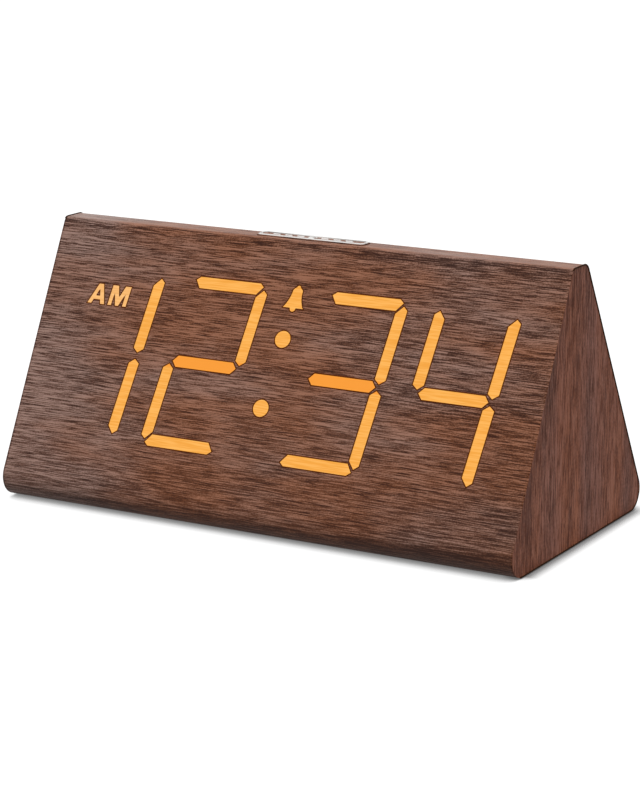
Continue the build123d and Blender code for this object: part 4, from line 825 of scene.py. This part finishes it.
def flat_face(name, across, up, facing):
    """Middle, width and height of a node's outermost flat face, in the plane of across and up."""
    points = [vertex.co for vertex in nodes[name].data.vertices]
    reach = max(point.dot(facing) for point in points)
    flat = [point for point in points if reach - point.dot(facing) < SAME_POINT]
    spans = [(min(p.dot(axis) for p in flat), max(p.dot(axis) for p in flat)) for axis in (across, up)]
    middle = across * (sum(spans[0]) / 2) + up * (sum(spans[1]) / 2) + facing * reach
    return middle, spans[0][1] - spans[0][0], spans[1][1] - spans[1][0]


# %% [markdown]
# ## Print on the snooze key
# The key in the ridge is outlined in white, and the outline is raised so that a hand finds it in the dark.
# Inside it stand a crescent and short bars, which mean rest in any language.

# %% Snooze key print
RIGHT, BACK, UP = Vector((1, 0, 0)), Vector((0, 1, 0)), Vector((0, 0, 1))
KEY_INSET, KEY_CORNER = 0.3, 1.0
MOON_RADIUS = 1.2
KEY_BAR, KEY_BAR_STEP, KEY_BARS = 2.4, 4.3, 3


def rounded_rectangle(width, height, radius):
    x, y = width / 2 - radius, height / 2 - radius
    corners = ((x, y, 0), (-x, y, 90), (-x, -y, 180), (x, -y, 270))
    return closed([p for cx, cy, turn in corners for p in arc((cx, cy), radius, turn, turn + 90, 6)])


def crescent(radius):
    inner = arc((0.45 * radius, 0), 0.86 * radius, 273, 87, 12)
    return closed(arc((0, 0), radius, 60, 300, 16) + inner)


key_top, key_length, key_depth = flat_face("snooze_key", RIGHT, BACK, UP)
print("the key's flat top is", round(key_length / MM, 2), "by", round(key_depth / MM, 2), "mm")
outline_size = [size / MM - 2 * KEY_INSET for size in (key_length, key_depth)]
key_paths = [rounded_rectangle(*outline_size, KEY_CORNER), crescent(MOON_RADIUS)]
bar = [(-KEY_BAR / 2, 0), (KEY_BAR / 2, 0)]
for side in (-1, 1):
    key_paths += [moved(bar, side * (count + 1) * KEY_BAR_STEP, 0) for count in range(KEY_BARS)]
white_print = moulded("white_print", (0.74, 0.72, 0.7), (0.84, 0.83, 0.81), (0.5, 0.62), FLAT)
grow(
    "key_print", drawing(key_paths, key_top, RIGHT, BACK), raised_line, "snooze_key", "walnut_veneer",
    line_width=0.75 * MM, height_share=0.8, corner_radius=CRISP_CORNER, facing=UP, material=white_print,
)

# %% [markdown]
# ## Signs on the rear panel
# Each control has its sign beside it, printed in pale grey: a clock face, a bell, arrows for the hours and
# minutes, rising bars for loudness, a sun for the dimmer, and the usual line over dashes at the socket. Each
# sign is a few strokes about its own middle. The places come from the controls in the frame.

# %% Signs
def clock_sign():
    return [arc((0, 0), 1.4, 0, 360, 24), [(0, 0.85), (0, 0), (0.6, -0.35)]]


def bell_sign():
    left = [(-1.35, -0.8), (-0.95, -0.4), (-0.85, 0.35)]
    right = [(-x, y) for x, y in reversed(left)]
    return [closed(left + arc((0, 0.45), 0.85, 170, 10, 8) + right), arc((0, -0.85), 0.4, 200, 340, 5)]


def chevron_sign(count):
    heights = [0.45 * (1 - count) + 0.9 * k for k in range(count)]
    return [[(-0.8, y - 0.35), (0, y + 0.45), (0.8, y - 0.35)] for y in heights]


def loudness_sign():
    return [[(x, -1), (x, -0.5 + 0.45 * k)] for k, x in enumerate((-1.2, -0.4, 0.4, 1.2))]


def sun_sign():
    rays = [(math.cos(math.radians(45 * k)), math.sin(math.radians(45 * k))) for k in range(8)]
    return [arc((0, 0), 0.7, 0, 360, 16)] + [[(1.1 * x, 1.1 * y), (1.6 * x, 1.6 * y)] for x, y in rays]


def socket_sign():
    dashes = [[(x - 0.35, -0.35), (x + 0.35, -0.35)] for x in (-1.15, 0, 1.15)]
    return [[(-1.5, 0.35), (1.5, 0.35)]] + dashes


# %% Signs beside their controls
REAR_SLOPE = math.radians(60.4)
REAR_FACING = Vector((0, math.sin(REAR_SLOPE), math.cos(REAR_SLOPE)))
REAR_RIGHT = Vector((-1, 0, 0))
REAR_UP = Vector((0, -math.cos(REAR_SLOPE), math.sin(REAR_SLOPE)))
BUTTON_SIGN_OUT, SIGN_OUT, WHEEL_SIGN_OUT = 7.4, 6.6, 7.6
SIGNS = {
    "time_button": (clock_sign(), BUTTON_SIGN_OUT),
    "alarm_button": (bell_sign(), BUTTON_SIGN_OUT),
    "hour_button": (chevron_sign(1), BUTTON_SIGN_OUT),
    "minute_button": (chevron_sign(2), BUTTON_SIGN_OUT),
    "alarm_slider": (bell_sign(), -SIGN_OUT),
    "volume_slider": (loudness_sign(), -SIGN_OUT),
    "dimmer_wheel": (sun_sign(), -WHEEL_SIGN_OUT),
    "power_inlet": (socket_sign(), -SIGN_OUT),
}
panel_reach = max(vertex.co.dot(REAR_FACING) for vertex in nodes["rear_panel"].data.vertices)
panel_middle = box_middle("rear_panel")
panel_middle += REAR_FACING * (panel_reach - panel_middle.dot(REAR_FACING))


def on_panel(name):
    """A control's place on the panel, in millimetres to the right and up from the panel's middle."""
    offset = (box_middle(name) - panel_middle) / MM
    return offset.dot(REAR_RIGHT), offset.dot(REAR_UP)


sign_paths = []
for name, (strokes, out) in SIGNS.items():
    across, up = on_panel(name)
    sign_paths += [moved(stroke, across, up + out) for stroke in strokes]
grey_print = moulded("grey_print", (0.5, 0.5, 0.5), (0.6, 0.6, 0.6), (0.5, 0.62), FLAT)
grow(
    "panel_signs", drawing(sign_paths, panel_middle, REAR_RIGHT, REAR_UP), raised_line, "case",
    "black_plastic", line_width=0.3 * MM, height_share=0.15, corner_radius=CRISP_CORNER,
    facing=REAR_FACING, material=grey_print,
)

# %% [markdown]
# ## Ribs for the fingers
# The two sliders have fine ridges that a nail catches, and the battery door has a few bars beside its notch.
# Each set is the same rib, repeated at even steps. A second Geometry Nodes tree makes such rows: points on a
# line, one rib instanced on every point.

# %% Rib row tree
RIB_SIDES = 10


def rib_row_tree():
    inputs = {
        "Geometry": (GEOMETRY, None),
        "Start": (VECTOR, (0, 0, 0)),
        "Step": (VECTOR, (1 * MM, 0, 0)),
        "Count": (INTEGER, 3),
        "Rib": (VECTOR, (0, 3 * MM, 0)),
        "Radius": (FLOAT, 0.2 * MM),
        "Material": (MATERIAL, None),
    }
    tree, given, result = node_group("rib_row", "GeometryNodeTree", inputs, {"Geometry": GEOMETRY})
    row = {"Count": given["Count"], "Start Location": given["Start"], "Offset": given["Step"]}
    points = add(tree, "GeometryNodeMeshLine", row, mode="OFFSET").outputs[0]
    ends = {"Start": scaled(tree, given["Rib"], -0.5), "End": scaled(tree, given["Rib"], 0.5)}
    line = add(tree, "GeometryNodeCurvePrimitiveLine", ends, mode="POINTS").outputs[0]
    rib = sweep(tree, line, given["Radius"], RIB_SIDES)
    ribs = add(tree, "GeometryNodeInstanceOnPoints", {"Points": points, "Instance": rib}).outputs[0]
    end_tree(tree, result, ribs, given["Material"])
    return tree


rib_row = rib_row_tree()
print("rib row tree has", len(rib_row.nodes), "nodes")

# %% Ribs on the sliders and the battery door
SLIDER_RIBS, SLIDER_PITCH = 3, 0.8 * MM
SLIDER_RIB_RADIUS, SLIDER_RIB_MARGIN = 0.18 * MM, 0.4 * MM
for slider in ("alarm_slider", "volume_slider"):
    middle, _, height = flat_face(slider, REAR_RIGHT, REAR_UP, REAR_FACING)
    grow(
        slider + "_ribs", bpy.data.meshes.new("seed"), rib_row, slider, "button_plastic",
        start=middle - REAR_RIGHT * SLIDER_PITCH * (SLIDER_RIBS - 1) / 2,
        step=REAR_RIGHT * SLIDER_PITCH, count=SLIDER_RIBS,
        rib=REAR_UP * (height - 2 * SLIDER_RIB_MARGIN), radius=SLIDER_RIB_RADIUS,
        material=finishes["button_plastic"],
    )

DOOR_RIBS, DOOR_PITCH = 5, 1.6 * MM
DOOR_RIB_RADIUS, DOOR_RIB_LENGTH = 0.35 * MM, 14 * MM
DOOR_RIBS_FROM_EDGE = 13 * MM
door_low, door_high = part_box("battery_door")
door_first = Vector((0, door_high.y - DOOR_RIBS_FROM_EDGE, door_low.z))
grow(
    "battery_door_ribs", bpy.data.meshes.new("seed"), rib_row, "battery_door", "black_plastic",
    start=door_first, step=BACK * DOOR_PITCH, count=DOOR_RIBS, rib=RIGHT * DOOR_RIB_LENGTH,
    radius=DOOR_RIB_RADIUS, material=finishes["black_plastic"],
)

# %% [markdown]
# ## Light
# The clock stands in even, soft light. A sun lamp from high in front rakes down the slope, so that the
# embossed fibres show, and the sky fills the rest. Area lamps would do as well, but a sun lights every piece
# alike, wherever it stands. To the camera the sky is white, but as a lamp it is weaker.

# %% Light
SKY_STRENGTH = 0.6
SUN_STRENGTH = 1.6
SUN_TURN, SUN_RISE = math.radians(15), math.radians(62)
SUN_WIDTH = math.radians(25)
WHITE = (1, 1, 1, 1)


def seen_directly(tree):
    """1 on rays from the camera, or in a mirror or glass, and 0 on rays that light things."""
    rays = add(tree, "ShaderNodeLightPath").outputs
    seen = maths(tree, "MAXIMUM", rays["Is Camera Ray"], rays["Is Glossy Ray"])
    return maths(tree, "MAXIMUM", seen, rays["Is Transmission Ray"])


def make_sky():
    world = bpy.data.worlds.new("sky")
    world.use_nodes = True
    tree = world.node_tree
    strength = remap(tree, seen_directly(tree), 0.0, 1.0, SKY_STRENGTH, 1.0)
    tree.links.new(strength, tree.nodes["Background"].inputs["Strength"])
    tree.nodes["Background"].inputs["Color"].default_value = WHITE
    bpy.context.scene.world = world


def make_sun():
    data = bpy.data.lights.new("sun", "SUN")
    data.energy = SUN_STRENGTH
    data.angle = SUN_WIDTH
    look_along(new_object("sun", data), -direction(SUN_TURN, SUN_RISE))


make_sky()
make_sun()
bpy.context.scene.view_settings.view_transform = "Standard"
print("sun at", SUN_STRENGTH, "and sky at", SKY_STRENGTH)

# %% [markdown]
# ## Floor
# The clock stands on a pale sweep. The camera sees it as white, apart from the shadow: its glow for the
# camera fades where the clock stands close above it. A plain white floor would lose the shadow in its glare.
# Beside the right end the shadow is shorter and deeper than in front, because the end goes straight down
# almost to the table, while the front's lower edge is turned in.

# %% Floor
FLOOR_SIDE = 8.0
FLOOR_TONE = 0.22
FLOOR_LIFT = 0.9
# Reach of the shadow, how open the sky is where it is deepest and where it ends, and the glow in its depth
FRONT_SHADOW = 9 * MM, 0.0, 0.63, 0.16
END_SHADOW = 5.5 * MM, 0.6, 0.97, 0.06
BESIDE_END_X = cad_high.x - 6 * MM, cad_high.x + 1 * MM
BESIDE_END_Y = cad_low.y + 4 * MM, cad_low.y + 9 * MM


def make_floor():
    half = FLOOR_SIDE / 2
    mesh = bpy.data.meshes.new("floor")
    corners = [(-half, -half, 0), (half, -half, 0), (half, half, 0), (-half, half, 0)]
    mesh.from_pydata(corners, [], [(0, 1, 2, 3)])
    material, tree, shader, place = new_material("pale_sweep", roughness=0.9, specular_ior_level=0.0)
    shader["Base Color"].default_value = (FLOOR_TONE, FLOOR_TONE, FLOOR_TONE, 1)
    shader["Emission Color"].default_value = WHITE
    axes = split(tree, place)
    right, behind = remap(tree, axes["X"], *BESIDE_END_X), remap(tree, axes["Y"], *BESIDE_END_Y)
    beside = maths(tree, "MULTIPLY", right, behind)
    pairs = zip(FRONT_SHADOW, END_SHADOW)
    reach, deepest, clear, glow = (remap(tree, beside, 0.0, 1.0, front, end) for front, end in pairs)
    open_sky = add(tree, "ShaderNodeAmbientOcclusion", {"Distance": reach}).outputs["AO"]
    lift = remap(tree, open_sky, deepest, clear, glow, FLOOR_LIFT)
    tree.links.new(maths(tree, "MULTIPLY", seen_directly(tree), lift), shader["Emission Strength"])
    mesh.materials.append(material)
    floor = new_object("floor", mesh)


make_floor()
print("floor of", FLOOR_SIDE, "m")
